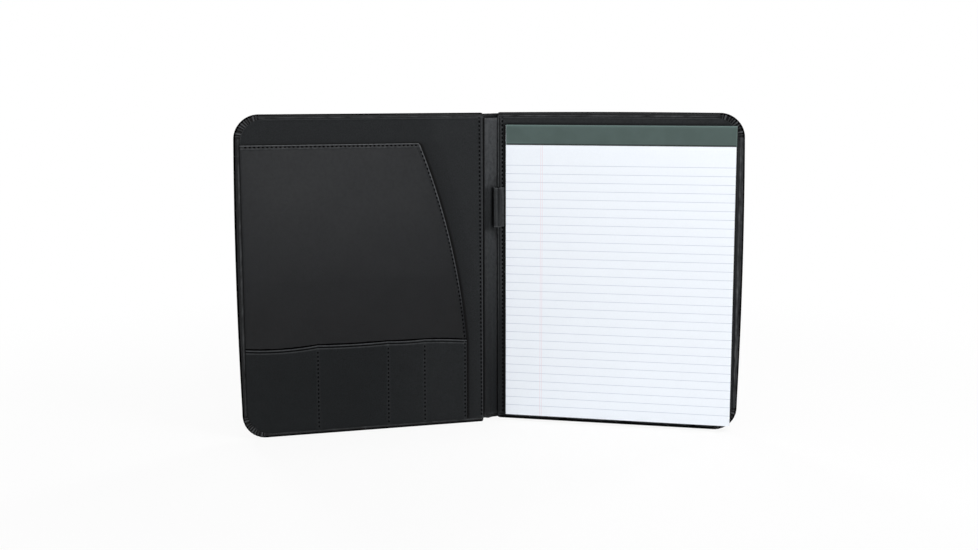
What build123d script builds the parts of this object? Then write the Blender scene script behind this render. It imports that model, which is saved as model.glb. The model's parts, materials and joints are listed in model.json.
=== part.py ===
from build123d import *

import os
from math import atan2, cos, degrees, hypot, radians, sin

# An open leatherette padfolio that stands on its lower edges like an opened book.
# Millimetres, +Z up. The viewer is on the -Y side and looks at the lined inside.
# The origin is the middle of the footprint of the open folio, on the floor.

# Writing pad
pad_width = 215.9
pad_height = 279.4
header_drop = 18.5
backing_thickness = 0.8
tape_thickness = 0.3
sheet_stack = 3.3
top_sheet_thickness = 0.25
sheet_fold_radius = 0.25
fold_lift = 0.1

# Cover panels, which are as large as the pad and these margins make them
crease_margin = 8.4
head_margin = 11.9
corner_radius = 22.0
skin_thickness = 0.9
skived_thickness = 0.6
padding_thickness = 1.3
board_thickness = 2.0
lining_thickness = 0.5
turn_in = 14.0
hem_reveal = 4.2
edge_round = 1.4
hem_roll = 0.4

# Gathered leather at the outer corners
pleat_count = 9
pleat_width = 0.8
pleat_depth = 0.45
pleat_margin = 6.0

# Spine and its two creases
spine_width = 20.0
crease_reach = 1.6
crease_thickness = 1.2
spine_inset = 1.0

# How far each leaf is turned out of the frontal plane, in degrees
front_turn = 16.0
back_turn = 13.0
spine_turn = 50.0

# Pockets of the front cover
pocket_thickness = 0.6
pocket_gap = 0.4
seam_width = 1.2
pocket_drop = 27.5
pocket_shoulder = 63.0
pocket_edge = 18.7
slant_sag = 7.0
strip_top = 82.5
strip_gap = 0.3
card_dividers = [60.0, 95.2, 161.5]

# Pocket of the back cover, which holds the pad by its backing
pad_pocket_top = 125.0

# Pen loop
loop_height = 37.5
loop_drop = 71.0
loop_bore_radius = 3.0
loop_wall = 0.7
loop_seam = 3.2
loop_knuckle_radius = 0.45
loop_reach = 4.9
loop_rise = 2.25
tab_thickness = 0.8
tab_gap = 0.35

# Clearances
fit_gap = 0.1
slide_gap = 0.3
sheet_gap = 0.05

# Levels of the layers, measured inwards from the inner face of the skin
core_depth = padding_thickness + board_thickness
hem_level = core_depth + skived_thickness
lining_level = hem_level + lining_thickness
pocket_level = lining_level + pocket_gap
strip_base = pocket_level + pocket_thickness
strip_level = strip_base + strip_gap

tape_back = lining_level + slide_gap
backing_level = tape_back + tape_thickness
pad_pocket_level = backing_level + backing_thickness + slide_gap
slot_top = pad_pocket_level + pocket_thickness + slide_gap
sheets_top = slot_top + sheet_stack

# Places along a panel, measured outwards from its crease
pad_margin = hem_reveal + seam_width + slide_gap
pad_start = crease_reach + crease_margin
pad_edge = pad_start + pad_width
panel_edge = pad_edge + pad_margin
lining_edge = panel_edge - hem_reveal
lining_corner = corner_radius - hem_reveal
cover_width = panel_edge - crease_reach

# Heights above the floor
pad_bottom = pad_margin
pad_top = pad_bottom + pad_height
header_bottom = pad_top - header_drop
cover_height = pad_top + head_margin
pocket_top = cover_height - pocket_drop
loop_top = cover_height - loop_drop
loop_bottom = loop_top - loop_height
spine_end = cover_height - spine_inset
spine_height = spine_end - spine_inset

# Where the two creases stand on the floor, before the origin is moved to the footprint's middle
half_spine = spine_width / 2
crease_x = half_spine * cos(radians(spine_turn))
crease_y = half_spine * sin(radians(spine_turn))


def sideways_reach(turn, across, level):
    """How far a point of a leaf is to the side of its crease, seen from the viewer."""
    return across * cos(radians(turn)) - level * sin(radians(turn))


def forward_reach(turn, across, level):
    """How far a point of a leaf is in front of its crease, towards the viewer."""
    return across * sin(radians(turn)) + level * cos(radians(turn))


# Ends of the footprint: the rounded edge of each panel, the card pockets in front, the back crease behind
edge_centre = panel_edge - edge_round
left_end = crease_x + sideways_reach(front_turn, edge_centre, edge_round - skin_thickness) + edge_round
right_end = crease_x + sideways_reach(back_turn, edge_centre, edge_round - skin_thickness) + edge_round
front_edge_end = forward_reach(front_turn, edge_centre, hem_level - edge_round) + edge_round
card_strip_end = forward_reach(front_turn, lining_edge, strip_level + pocket_thickness)
near_end = crease_y + max(front_edge_end, card_strip_end)
far_end = crease_y + crease_thickness / 2
middle_x = (right_end - left_end) / 2
middle_y = (far_end - near_end) / 2


def leaf_plane(x, y, turn):
    """Plane of one leaf: X runs to the viewer's right, Y up, and Z out of the inner side."""
    angle = radians(turn)
    return Plane(
        origin=(x - middle_x, y - middle_y, 0),
        x_dir=(cos(angle), sin(angle), 0),
        z_dir=(sin(angle), -cos(angle), 0),
    )


front_plane = leaf_plane(-crease_x, -crease_y, front_turn)
back_plane = leaf_plane(crease_x, crease_y, -back_turn)
spine_plane = leaf_plane(-crease_x, -crease_y, spine_turn)
FRONT = -1
BACK = 1

# Where the quarter turn of each outer corner starts, in degrees: the upper corner, then the lower one
CORNER_STARTS = {FRONT: (90, 180), BACK: (0, 270)}


def panel_outline(plane, side, inset, crease_inset=0.0):
    """Sketches a panel with its two outer corners rounded, drawn in from the edge by inset."""
    width = cover_width - inset - crease_inset
    with BuildSketch(plane) as outline:
        with Locations((side * (crease_reach + crease_inset + width / 2), cover_height / 2)):
            Rectangle(width, cover_height - 2 * inset)
        outer = outline.vertices().group_by(Axis.X)[-1 if side > 0 else 0]
        fillet(outer, corner_radius - inset)
    return outline.sketch


def upright_box(plane, start, stop, bottom, top):
    """Sketches a rectangle between two places along a leaf and two heights."""
    with BuildSketch(plane) as box:
        with Locations(((start + stop) / 2, (bottom + top) / 2)):
            Rectangle(abs(stop - start), top - bottom)
    return box.sketch


def cover_skin(plane, side):
    """Leatherette wrapped round the padding and the board, and turned in with pleats at the corners."""
    crease_middle = plane.from_local_coords((side * crease_reach, cover_height / 2, core_depth / 2))
    corner_x = side * (panel_edge - corner_radius)
    corner_heights = (cover_height - corner_radius, corner_radius)
    pleat_angle = 90 - 2 * pleat_margin
    with BuildPart() as skin:
        extrude(panel_outline(plane.offset(-skin_thickness), side, 0), amount=skin_thickness + hem_level)
        rim = skin.faces().filter_by(plane).edges().sort_by_distance(crease_middle)[2:]
        fillet(rim, edge_round)
        extrude(panel_outline(plane, side, skin_thickness), amount=core_depth, mode=Mode.SUBTRACT)
        well = panel_outline(plane.offset(core_depth), side, turn_in)
        extrude(well, amount=skived_thickness, mode=Mode.SUBTRACT)
        with BuildSketch(plane.offset(hem_level)):
            for corner_y, start in zip(corner_heights, CORNER_STARTS[side]):
                with Locations((corner_x, corner_y)):
                    with PolarLocations(
                        corner_radius - turn_in / 2, pleat_count, start + pleat_margin, pleat_angle, endpoint=True
                    ):
                        Rectangle(turn_in + edge_round, pleat_width)
        extrude(amount=-pleat_depth, mode=Mode.SUBTRACT)
    return skin


def cover_core(plane, side, level, thickness):
    """A sheet of the core that the skin is wrapped round: the padding or the board."""
    with BuildPart() as core:
        sheet = panel_outline(plane.offset(level), side, skin_thickness + fit_gap, lining_thickness + fit_gap)
        extrude(sheet, amount=thickness)
    return core


def cover_infill(plane, side):
    """Card that levels the well between the turned-in edges."""
    with BuildPart() as infill:
        well = panel_outline(plane.offset(core_depth), side, turn_in + fit_gap, lining_thickness + fit_gap)
        extrude(well, amount=skived_thickness)
    return infill


def cover_lining(plane, side):
    """Lining sheet, with the hem that it folds down over the crease edge of the board."""
    crease_middle = plane.from_local_coords((side * crease_reach, cover_height / 2, lining_level))
    crease_edge = side * crease_reach
    hem_back = side * (crease_reach + lining_thickness)
    core_end = skin_thickness + fit_gap
    well_end = turn_in + fit_gap
    with BuildPart() as lining:
        extrude(panel_outline(plane.offset(hem_level), side, hem_reveal), amount=lining_thickness)
        well_hem = upright_box(
            plane.offset(core_depth), crease_edge, hem_back, well_end, cover_height - well_end
        )
        extrude(well_hem, amount=skived_thickness)
        core_hem = upright_box(plane, crease_edge, hem_back, core_end, cover_height - core_end)
        extrude(core_hem, amount=core_depth)
        top_face = lining.faces().filter_by(plane).sort_by(Axis(plane.origin, plane.z_dir))[-1]
        fillet(top_face.edges().sort_by_distance(crease_middle)[0], hem_roll)
    return lining


def sewn_pocket(plane, side, base, gap, edges, ribs, slanted):
    """A pocket sheet that stands off its base by a gap and is sewn down along its closed edges."""
    start, stop, bottom, top, corner = edges
    wall = 2 * seam_width

    def outline(level):
        with BuildSketch(plane.offset(level)) as face:
            with Locations((side * (start + stop) / 2, (bottom + top) / 2)):
                Rectangle(stop - start, top - bottom)
            fillet(face.vertices().sort_by_distance((side * stop, bottom))[0], corner)
            if slanted:
                with BuildLine():
                    shoulder = (side * pocket_shoulder, top)
                    foot = (side * start, strip_top)
                    SagittaArc(shoulder, foot, slant_sag)
                    Polyline(foot, (side * start, top), shoulder)
                make_face(mode=Mode.SUBTRACT)
        return face.sketch

    with BuildPart() as pocket:
        extrude(outline(base + gap), amount=pocket_thickness)
        extrude(outline(base), amount=gap)
        with BuildSketch(plane.offset(base)) as hollow:
            with Locations((side * (start + stop) / 2, (bottom + top + wall) / 2)):
                Rectangle(stop - start - wall, top - bottom)
            fillet(hollow.vertices().sort_by_distance((side * stop, bottom))[0], corner - seam_width)
            with Locations([(side * rib, bottom) for rib in ribs]):
                Rectangle(seam_width, 2 * (top - bottom) + wall, mode=Mode.SUBTRACT)
        extrude(amount=gap, mode=Mode.SUBTRACT)
    return pocket


pieces = {}

# Front and back covers, from the outside in
for name, plane, side in [("front", front_plane, FRONT), ("back", back_plane, BACK)]:
    pieces[name + "_skin"] = cover_skin(plane, side)
    pieces[name + "_padding"] = cover_core(plane, side, 0, padding_thickness)
    pieces[name + "_board"] = cover_core(plane, side, padding_thickness, board_thickness)
    pieces[name + "_infill"] = cover_infill(plane, side)
    pieces[name + "_lining"] = cover_lining(plane, side)

# Pockets of the front cover: a document pocket with a slanted mouth, and a strip of card pockets on it
document_edges = (pocket_edge, lining_edge, hem_reveal, pocket_top, lining_corner)
pieces["document_pocket"] = sewn_pocket(front_plane, FRONT, lining_level, pocket_gap, document_edges, [], True)
strip_edges = (pocket_edge, lining_edge, hem_reveal, strip_top, lining_corner)
pieces["card_pocket_strip"] = sewn_pocket(
    front_plane, FRONT, strip_base, strip_gap, strip_edges, card_dividers, False
)

# Pocket of the back cover, deep enough for the pad's backing
pad_pocket_edges = (
    pad_start - slide_gap - seam_width, lining_edge, hem_reveal, pad_pocket_top, lining_corner
)
pieces["pad_pocket"] = sewn_pocket(
    back_plane, BACK, lining_level, pad_pocket_level - lining_level, pad_pocket_edges, [], False
)

# Spine skin, turned in over its two ends
spine_start = crease_reach
spine_stop = spine_width - crease_reach
with BuildPart() as spine_skin:
    outside = upright_box(
        spine_plane.offset(-skin_thickness), spine_start, spine_stop, spine_inset, spine_end
    )
    extrude(outside, amount=skin_thickness)
    for bottom in (spine_inset, spine_end - turn_in):
        turned = upright_box(spine_plane, spine_start, spine_stop, bottom, bottom + turn_in)
        extrude(turned, amount=skived_thickness)
    ends = spine_skin.edges().filter_by(Axis(spine_plane.origin, spine_plane.x_dir))
    fillet(ends.group_by(Axis.Z)[0] + ends.group_by(Axis.Z)[-1], hem_roll)
pieces["spine_skin"] = spine_skin

# Strip that stiffens the spine between its turned-in ends
with BuildPart() as spine_stiffener:
    well_bottom = spine_inset + turn_in + fit_gap
    strip = upright_box(spine_plane, spine_start, spine_stop, well_bottom, cover_height - well_bottom)
    extrude(strip, amount=skived_thickness)
pieces["spine_stiffener"] = spine_stiffener

# Smooth lining band of the spine
with BuildPart() as spine_lining:
    band_bottom = spine_inset + hem_reveal
    band = upright_box(
        spine_plane.offset(skived_thickness), spine_start, spine_stop, band_bottom, cover_height - band_bottom
    )
    extrude(band, amount=lining_thickness)
pieces["spine_lining"] = spine_lining


def section_plane(x, y, turn, height):
    """Level plane whose X runs along a leaf and whose Y points out of its inner side; it faces down."""
    angle = radians(turn)
    return Plane(origin=(x - middle_x, y - middle_y, height), x_dir=(cos(angle), sin(angle), 0), z_dir=(0, 0, -1))


# Creases: the leather folds about the line where spine and panel meet
for name, side, turn in [("front", FRONT, front_turn), ("back", BACK, -back_turn)]:
    with BuildPart() as crease:
        with BuildSketch(section_plane(side * crease_x, side * crease_y, spine_turn, spine_end)):
            Circle(crease_thickness / 2)
            with Locations((-side * crease_reach / 2, 0)):
                Rectangle(crease_reach, crease_thickness)
            with Locations(Location((0, 0), spine_turn - turn)):
                with Locations((side * (crease_reach - fit_gap) / 2, 0)):
                    Rectangle(crease_reach - fit_gap, crease_thickness)
        extrude(amount=spine_height)
    pieces[name + "_crease"] = crease

# Pen loop: a strap bent into a tube, which swings about its seam on the back cover
seam_level = lining_level + slide_gap + loop_knuckle_radius
seam_x = crease_x + sideways_reach(back_turn, loop_seam, seam_level)
seam_y = crease_y - forward_reach(back_turn, loop_seam, seam_level)
neck = (-loop_reach, loop_rise)
neck_length = hypot(loop_reach, loop_rise)
neck_angle = degrees(atan2(loop_rise, -loop_reach))
with BuildPart() as pen_loop:
    with BuildSketch(section_plane(seam_x, seam_y, spine_turn, loop_top)):
        with Locations(neck):
            Circle(loop_bore_radius + loop_wall)
        Circle(loop_knuckle_radius)
        with Locations(Location((0, 0), neck_angle)):
            with Locations((neck_length / 2, 0)):
                Rectangle(neck_length, 2 * loop_knuckle_radius)
        with Locations(neck):
            Circle(loop_bore_radius, mode=Mode.SUBTRACT)
    extrude(amount=loop_height)
pieces["pen_loop"] = pen_loop

# Tab that the pen loop is sewn to
with BuildPart() as pen_loop_tab:
    tab_start = loop_seam + loop_knuckle_radius + tab_gap
    tab_stop = pad_start - slide_gap - seam_width - fit_gap
    strap_end = upright_box(back_plane.offset(lining_level), tab_start, tab_stop, loop_bottom, loop_top)
    extrude(strap_end, amount=tab_thickness)
pieces["pen_loop_tab"] = pen_loop_tab

# Cardboard backing of the pad, with the lower outer corner that the pocket needs
with BuildPart() as pad_backing:
    with BuildSketch(back_plane.offset(backing_level)) as face:
        with Locations((pad_start + pad_width / 2, pad_bottom + pad_height / 2)):
            Rectangle(pad_width, pad_height)
        corner = face.vertices().sort_by_distance((pad_edge, pad_bottom))[0]
        fillet(corner, lining_corner - seam_width - slide_gap)
    extrude(amount=backing_thickness)
pieces["pad_backing"] = pad_backing

# Bound sheets, parted from the backing below by the pocket that comes between them
with BuildPart() as pad_sheets:
    sheets_plane = back_plane.offset(backing_level + backing_thickness)
    block = upright_box(sheets_plane, pad_start, pad_edge, pad_bottom, pad_top)
    extrude(block, amount=sheets_top - backing_level - backing_thickness)
    slot = upright_box(sheets_plane, pad_start, pad_edge, pad_bottom, pad_pocket_top + slide_gap)
    extrude(slot, amount=slot_top - backing_level - backing_thickness, mode=Mode.SUBTRACT)
pieces["pad_sheets"] = pad_sheets

# Binding tape folded over the head of the pad
with BuildPart() as pad_binding:
    around = upright_box(
        back_plane.offset(tape_back), pad_start, pad_edge, header_bottom, pad_top + tape_thickness
    )
    extrude(around, amount=sheets_top - tape_back + tape_thickness)
    head = upright_box(back_plane.offset(backing_level), pad_start, pad_edge, header_bottom, pad_top)
    extrude(head, amount=sheets_top - backing_level, mode=Mode.SUBTRACT)
pieces["pad_binding"] = pad_binding

# Top sheet, which turns up over the binding about a fold just in front of the tape's lower edge
fold_level = sheets_top + tape_thickness + sheet_gap + fold_lift
fold_height = header_bottom - slide_gap
with BuildPart() as top_sheet:
    page = upright_box(back_plane.offset(sheets_top + sheet_gap), pad_start, pad_edge, pad_bottom, fold_height)
    extrude(page, amount=top_sheet_thickness)
    fold_point = back_plane.from_local_coords((pad_start, fold_height, fold_level))
    with BuildSketch(Plane(origin=fold_point, x_dir=(0, 0, 1), z_dir=back_plane.x_dir)):
        Circle(sheet_fold_radius)
    extrude(amount=pad_width, mode=Mode.SUBTRACT)
pieces["top_sheet"] = top_sheet

os.makedirs("parts", exist_ok=True)
for name, piece in pieces.items():
    piece.part.label = name
    export_step(piece.part, f"parts/{name}.step")
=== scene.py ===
# An open padfolio that stands on its lower edges: leatherette, thread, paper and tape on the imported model.
import json
from math import atan2, ceil, cos, floor, pi, radians, sin

import bmesh
import bpy
import numpy as np
from mathutils import Matrix, Vector


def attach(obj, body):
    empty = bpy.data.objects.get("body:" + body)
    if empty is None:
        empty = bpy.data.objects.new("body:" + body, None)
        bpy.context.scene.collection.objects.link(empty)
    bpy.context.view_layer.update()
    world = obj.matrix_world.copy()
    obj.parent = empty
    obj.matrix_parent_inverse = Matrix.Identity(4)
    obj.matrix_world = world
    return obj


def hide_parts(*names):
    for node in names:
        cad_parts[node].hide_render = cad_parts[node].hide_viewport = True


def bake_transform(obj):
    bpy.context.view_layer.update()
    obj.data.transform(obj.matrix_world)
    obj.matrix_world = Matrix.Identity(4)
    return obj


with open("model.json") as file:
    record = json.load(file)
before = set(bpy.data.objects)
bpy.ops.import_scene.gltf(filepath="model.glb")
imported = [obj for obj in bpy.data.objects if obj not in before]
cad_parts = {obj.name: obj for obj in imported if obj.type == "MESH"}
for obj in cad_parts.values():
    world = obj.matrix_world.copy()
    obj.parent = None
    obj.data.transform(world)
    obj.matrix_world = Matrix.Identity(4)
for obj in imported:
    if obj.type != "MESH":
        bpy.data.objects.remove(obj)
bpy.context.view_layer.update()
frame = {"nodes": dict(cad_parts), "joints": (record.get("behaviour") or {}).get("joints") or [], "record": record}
NODES = frame["nodes"]
JOINTS = {joint["name"]: joint for joint in frame["joints"]}
MOUNTS = {mount["name"]: mount for mount in frame["record"]["mounts"]}

# Sizes in millimetres. A place on a leaf is its distance across from the crease, its height, and its level
# over the outer side of the board. Pieces carry a share from -1 to 1 of rubbing and painted light:
# below zero it is painted shade, deep black, in creases, beside edges and in cast shadows, and black under
# stitches; above zero it is mostly painted highlight and sheen, with rubbing at the spine's outer ends.
MM = 0.001
MERGE = 1e-6
COVER_HEIGHT = 297.0
PANEL_START = 1.6
PANEL_EDGE = 231.6
CORNER_RADIUS = 22.0
EDGE_ROUND = 1.4
HEM_WIDTH = 4.2
SKIN_LEVEL = -0.9
HEM_LEVEL = 3.9
SKIN_THICKNESS = 0.5

LINING_MIDDLE = 4.15
LINING_THICKNESS = 0.5
LINING_START = 1.85
LINING_EDGE = PANEL_EDGE - HEM_WIDTH
LINING_FOOT = HEM_WIDTH
LINING_TOP = COVER_HEIGHT - HEM_WIDTH

POCKET_MIDDLE = 5.1
POCKET_THICKNESS = 0.6
POCKET_HALF = POCKET_THICKNESS / 2
POCKET_START = 18.7
POCKET_TOP = 269.5
STRIP_MIDDLE = 6.0
STRIP_TOP = 82.5
DIVIDERS = (60.0, 95.2, 161.5)
MOUTH_CENTRE = (679.3, 24.8)
MOUTH_RADIUS = 663.1
SHOULDER_ROUND = 2.2

PAD_START = 11.0
PAD_EDGE = 225.4
PAD_FOOT = 5.7
PAD_TOP = 285.1
HEADER_FOOT = 266.6
PAD_POCKET_START = 8.5
PAD_POCKET_TOP = 125.0
PAD_POCKET_MIDDLE = 6.4

SPINE_FOOT = 1.0
SPINE_TOP = 296.0
SPINE_LINING_FOOT = SPINE_FOOT + HEM_WIDTH
SPINE_LINING_TOP = SPINE_TOP - HEM_WIDTH
LOOP_FOOT = 188.5
LOOP_TOP = 226.0

STITCH_PITCH = 3.9
STITCH_LENGTH = 2.1
STITCH_WIDTH = 0.72
FINE_STITCH_WIDTH = 0.6
STITCH_HEIGHT = 0.42
STITCH_ARCH = 0.24
STITCH_SINK = 0.08


# Leaves: where the flat parts of the folder stand
class Leaf:
    """A crease with the directions away from it and out of the lined side."""

    def __init__(self, crease, across, inward):
        self.crease = np.array((crease[0], crease[1], 0.0))
        self.across = np.array(across) / np.linalg.norm(across)
        self.inward = np.array(inward) / np.linalg.norm(inward)

    def place(self, points):
        across, height, level = np.asarray(points, float).reshape(-1, 3).T
        moved = np.outer(across, self.across) + np.outer(level, self.inward) + np.outer(height, UP)
        return self.crease + moved * MM

    def at(self, across, height, level):
        return tuple(self.place([(across, height, level)])[0])


UP = np.array((0.0, 0.0, 1.0))
front_inward = -np.array(MOUNTS["front_face"]["axis"])
back_inward = -np.array(MOUNTS["back_face"]["axis"])
front_crease = np.array(JOINTS["front_fold"]["pos_m"])
back_crease = np.array(JOINTS["back_fold"]["pos_m"])
spine_across = (back_crease - front_crease) / np.linalg.norm(back_crease - front_crease)
spine_inward = np.cross(spine_across, UP)
SPINE_WIDTH = np.linalg.norm(back_crease - front_crease) / MM

FRONT = Leaf(front_crease, np.cross(front_inward, UP), front_inward)
BACK = Leaf(back_crease, np.cross(UP, back_inward), back_inward)
SPINE_TO_FRONT = Leaf(front_crease, -spine_across, spine_inward)
SPINE_TO_BACK = Leaf(back_crease, spine_across, spine_inward)


# Shaping helpers
def smooth(low, high, value):
    share = np.clip((value - low) / (high - low), 0.0, 1.0)
    return share * share * (3 - 2 * share)


def ripple(x, y, length, seed):
    """A smooth unevenness between about -1 and 1 over places x, y, with waves of about one length."""
    draw = np.random.default_rng(seed)
    total = 0.0
    for _ in range(5):
        turn, phase = draw.uniform(0, 2 * pi, 2)
        stretch = draw.uniform(0.6, 1.6)
        total = total + np.sin(2 * pi * stretch / length * (x * cos(turn) + y * sin(turn)) + phase)
    return total / 3


def groove(distance, width):
    return np.exp(-(distance / width) ** 2)


def pucker(apart, along, reach):
    """How a sewn sheet rises and dips along its seam, fading away from it."""
    return np.cos(2 * pi * along / STITCH_PITCH) * np.exp(-np.abs(apart) / reach)


def unit(vectors):
    return vectors / np.maximum(np.linalg.norm(vectors, axis=-1, keepdims=True), 1e-9)


def new_piece(name, places, faces, material, leaf_places=None, wear_and_painted_light=None, trim=None):
    """A mesh piece. Its trim is a second material with a flag for each face that has it."""
    mesh = bpy.data.meshes.new(name)
    mesh.from_pydata([tuple(place) for place in places], [], faces)
    mesh.materials.append(material)
    if trim is not None:
        mesh.materials.append(trim[0])
        mesh.polygons.foreach_set("material_index", np.asarray(trim[1], np.int32))
    if wear_and_painted_light is not None:
        wear_and_light_layer = mesh.attributes.new("wear_and_painted_light", "FLOAT", "POINT")
        wear_and_light_layer.data.foreach_set("value", np.asarray(wear_and_painted_light, np.float32))
    if leaf_places is not None:
        layer = mesh.uv_layers.new(name="leaf")
        for loop in mesh.loops:
            layer.data[loop.index].uv = leaf_places[loop.vertex_index][:2]
    shaped = bmesh.new()
    shaped.from_mesh(mesh)
    bmesh.ops.remove_doubles(shaped, verts=shaped.verts, dist=MERGE)
    bmesh.ops.recalc_face_normals(shaped, faces=shaped.faces)
    shaped.to_mesh(mesh)
    shaped.free()
    mesh.polygons.foreach_set("use_smooth", [True] * len(mesh.polygons))
    piece = bpy.data.objects.new(name, mesh)
    bpy.context.scene.collection.objects.link(piece)
    return piece


def grid_faces(rows, columns, start=0):
    faces = []
    for row in range(rows - 1):
        for column in range(columns - 1):
            first = start + row * columns + column
            faces.append((first, first + 1, first + columns + 1, first + columns))
    return faces


def tube_faces(first_ring, second_ring):
    """The faces between two closed rings of as many corners."""
    after = [*range(1, len(first_ring)), 0]
    return [
        (first_ring[k], first_ring[n], second_ring[n], second_ring[k]) for k, n in enumerate(after)
    ]


def thick_sheet(
    name, leaf, middle, thickness, material, wear_and_painted_light=None, back_wear_and_painted_light=None, black=None, black_rim=False
):
    """A closed sheet with a rounded rim around a grid of middle places, rows by columns.
    Cells of its front marked black, and its rim if asked, get the near-black leatherette that paints shade."""
    rows, columns = middle.shape[:2]
    wear_and_painted_light = np.zeros((rows, columns)) if wear_and_painted_light is None else wear_and_painted_light
    back_wear_and_painted_light = wear_and_painted_light if back_wear_and_painted_light is None else back_wear_and_painted_light
    half = thickness / 2
    normal = unit(np.cross(np.gradient(middle, axis=1), np.gradient(middle, axis=0)))
    rim = [(0, c) for c in range(columns)] + [(r, columns - 1) for r in range(1, rows)]
    rim += [(rows - 1, c) for c in range(columns - 2, -1, -1)] + [(r, 0) for r in range(rows - 2, 0, -1)]
    rim_rows, rim_columns = np.array(rim).T
    edge = middle[rim_rows, rim_columns]
    edge_normal = normal[rim_rows, rim_columns]
    outward = edge - middle[np.clip(rim_rows, 1, rows - 2), np.clip(rim_columns, 1, columns - 2)]
    outward = unit(outward - edge_normal * np.sum(outward * edge_normal, axis=1, keepdims=True))
    front = (middle + normal * half).reshape(-1, 3)
    back = (middle - normal * half).reshape(-1, 3)
    rounds = [
        edge + outward * half * cos(angle) + edge_normal * half * sin(angle)
        for angle in (pi / 4, 0.0, -pi / 4)
    ]
    count = rows * columns
    on_front = [r * columns + c for r, c in rim]
    loops = [on_front]
    loops += [[2 * count + step * len(rim) + k for k in range(len(rim))] for step in range(len(rounds))]
    loops.append([count + place for place in on_front])
    faces = grid_faces(rows, columns) + grid_faces(rows, columns, count)
    rim_start = len(faces)
    for first, second in zip(loops, loops[1:]):
        faces += tube_faces(first, second)
    points = np.concatenate([front, back, *rounds])
    rim_wear_and_painted_light = wear_and_painted_light[rim_rows, rim_columns]
    wear_and_painted_light = np.concatenate([wear_and_painted_light.ravel(), back_wear_and_painted_light.ravel(), *[rim_wear_and_painted_light] * len(rounds)])
    flags = np.zeros(len(faces), bool)
    flags[rim_start:] = black_rim
    if black is not None:
        flags[: rim_start // 2] = black.ravel()
    trim = (SHADE_BLACK_LEATHER, flags) if flags.any() else None
    return new_piece(name, leaf.place(points), faces, material, points, wear_and_painted_light, trim)


def cell_middles(values):
    return (values[:-1, :-1] + values[1:, 1:]) / 2


def spread(near, far, near_steps, far_steps, count):
    """Columns between two edges: fixed steps in from each edge, and even ones in between."""
    near, far = np.asarray(near, float), np.asarray(far, float)
    start, end = near + near_steps[-1], far - far_steps[-1]
    shares = np.linspace(0, 1, count + 2)[1:-1]
    columns = [near + step for step in near_steps]
    columns += [start + (end - start) * share for share in shares]
    columns += [far - step for step in reversed(far_steps)]
    return np.stack(columns, axis=-1)


def outer_edge(height, inset):
    """How far an inner layer, with corners as round as the leaf's, reaches across at a height."""
    radius = CORNER_RADIUS
    low = np.clip(inset + radius - height, 0, radius)
    high = np.clip(height - (COVER_HEIGHT - inset - radius), 0, radius)
    return PANEL_EDGE - inset - radius + np.sqrt(radius ** 2 - np.maximum(low, high) ** 2)


def corner_heights(inset, count):
    """Heights that follow an inner layer's lower outer corner evenly round its arc."""
    turns = np.linspace(0, pi / 2, count)
    return inset + CORNER_RADIUS * (1 - np.cos(turns))


def mouth_edge(height):
    """The document pocket's inner edge: upright beside the card strip, bowed above, with a round shoulder."""
    rise = np.maximum(height, STRIP_TOP) - MOUTH_CENTRE[1]
    bowed = MOUTH_CENTRE[0] - np.sqrt(MOUTH_RADIUS ** 2 - rise ** 2)
    near_top = np.clip((height - (POCKET_TOP - SHOULDER_ROUND)) / SHOULDER_ROUND, 0, 1)
    return bowed + SHOULDER_ROUND * (1 - np.sqrt(1 - near_top ** 2))


# Materials
RUBBED_AND_HIGHLIGHT = (0.098, 0.103, 0.108)
SHADE_AND_SEAM_BLACK = (0.0006, 0.0006, 0.0007)
WHITE = (1.0, 1.0, 1.0, 1.0)
RULE_FIRST = 247.5
RULE_PITCH = 8.0
RULE_COUNT = 30
RULE_WIDTH = 0.4
MARGIN_LINES = (33.6, 35.2)
MARGIN_WIDTH = 0.3
# The dark band along the tape's foot is a painted shadow line.
FOOT_SHADE_MIDDLE = HEADER_FOOT + 0.6
FOOT_SHADE_WIDTH = 1.6


def opaque(colour, strength=1.0):
    return (*[part * strength for part in colour], 1.0)


class Nodes:
    """Short ways to add shader nodes to a tree."""

    def __init__(self, tree):
        self.tree = tree

    def add(self, kind, inputs=None, **settings):
        node = self.tree.nodes.new(f"ShaderNode{kind}")
        for key, value in settings.items():
            setattr(node, key, value)
        for key, value in (inputs or {}).items():
            if isinstance(value, bpy.types.NodeSocket):
                self.tree.links.new(value, node.inputs[key])
            else:
                node.inputs[key].default_value = value
        return node

    def math(self, operation, *values, clamp=False):
        node = self.add("Math", dict(enumerate(values)), operation=operation, use_clamp=clamp)
        return node.outputs["Value"]

    def mix(self, share, first, second):
        return self.add("MixRGB", {"Fac": share, "Color1": first, "Color2": second}).outputs["Color"]

    def span(self, value, low, high, to_low=0.0, to_high=1.0, curve="LINEAR"):
        """Maps a value from one span to another."""
        ends = {"From Min": low, "From Max": high, "To Min": to_low, "To Max": to_high}
        return self.add("MapRange", {"Value": value, **ends}, interpolation_type=curve).outputs["Result"]

    def band(self, value, width):
        """1 where a value is within half a width of zero, with a soft edge."""
        return self.span(self.math("ABSOLUTE", value), width * 0.3, width * 0.7, 1.0, 0.0)

    def noise(self, place, scale, detail, roughness=0.5):
        inputs = {"Vector": place, "Scale": scale, "Detail": detail, "Roughness": roughness}
        return self.add("TexNoise", inputs).outputs

    def wave(self, place, direction, scale, distortion, detail):
        inputs = {"Vector": place, "Scale": scale, "Distortion": distortion, "Detail": detail}
        return self.add("TexWave", inputs, bands_direction=direction).outputs["Fac"]

    def ramp(self, share, *stops):
        node = self.add("ValToRGB", {"Fac": share})
        for element, (position, colour) in zip(node.color_ramp.elements, stops):
            element.position = position
            element.color = opaque(colour)
        return node.outputs["Color"]

    def send(self, shader, output):
        self.tree.links.new(shader, self.tree.nodes[output].inputs["Surface"])


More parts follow.
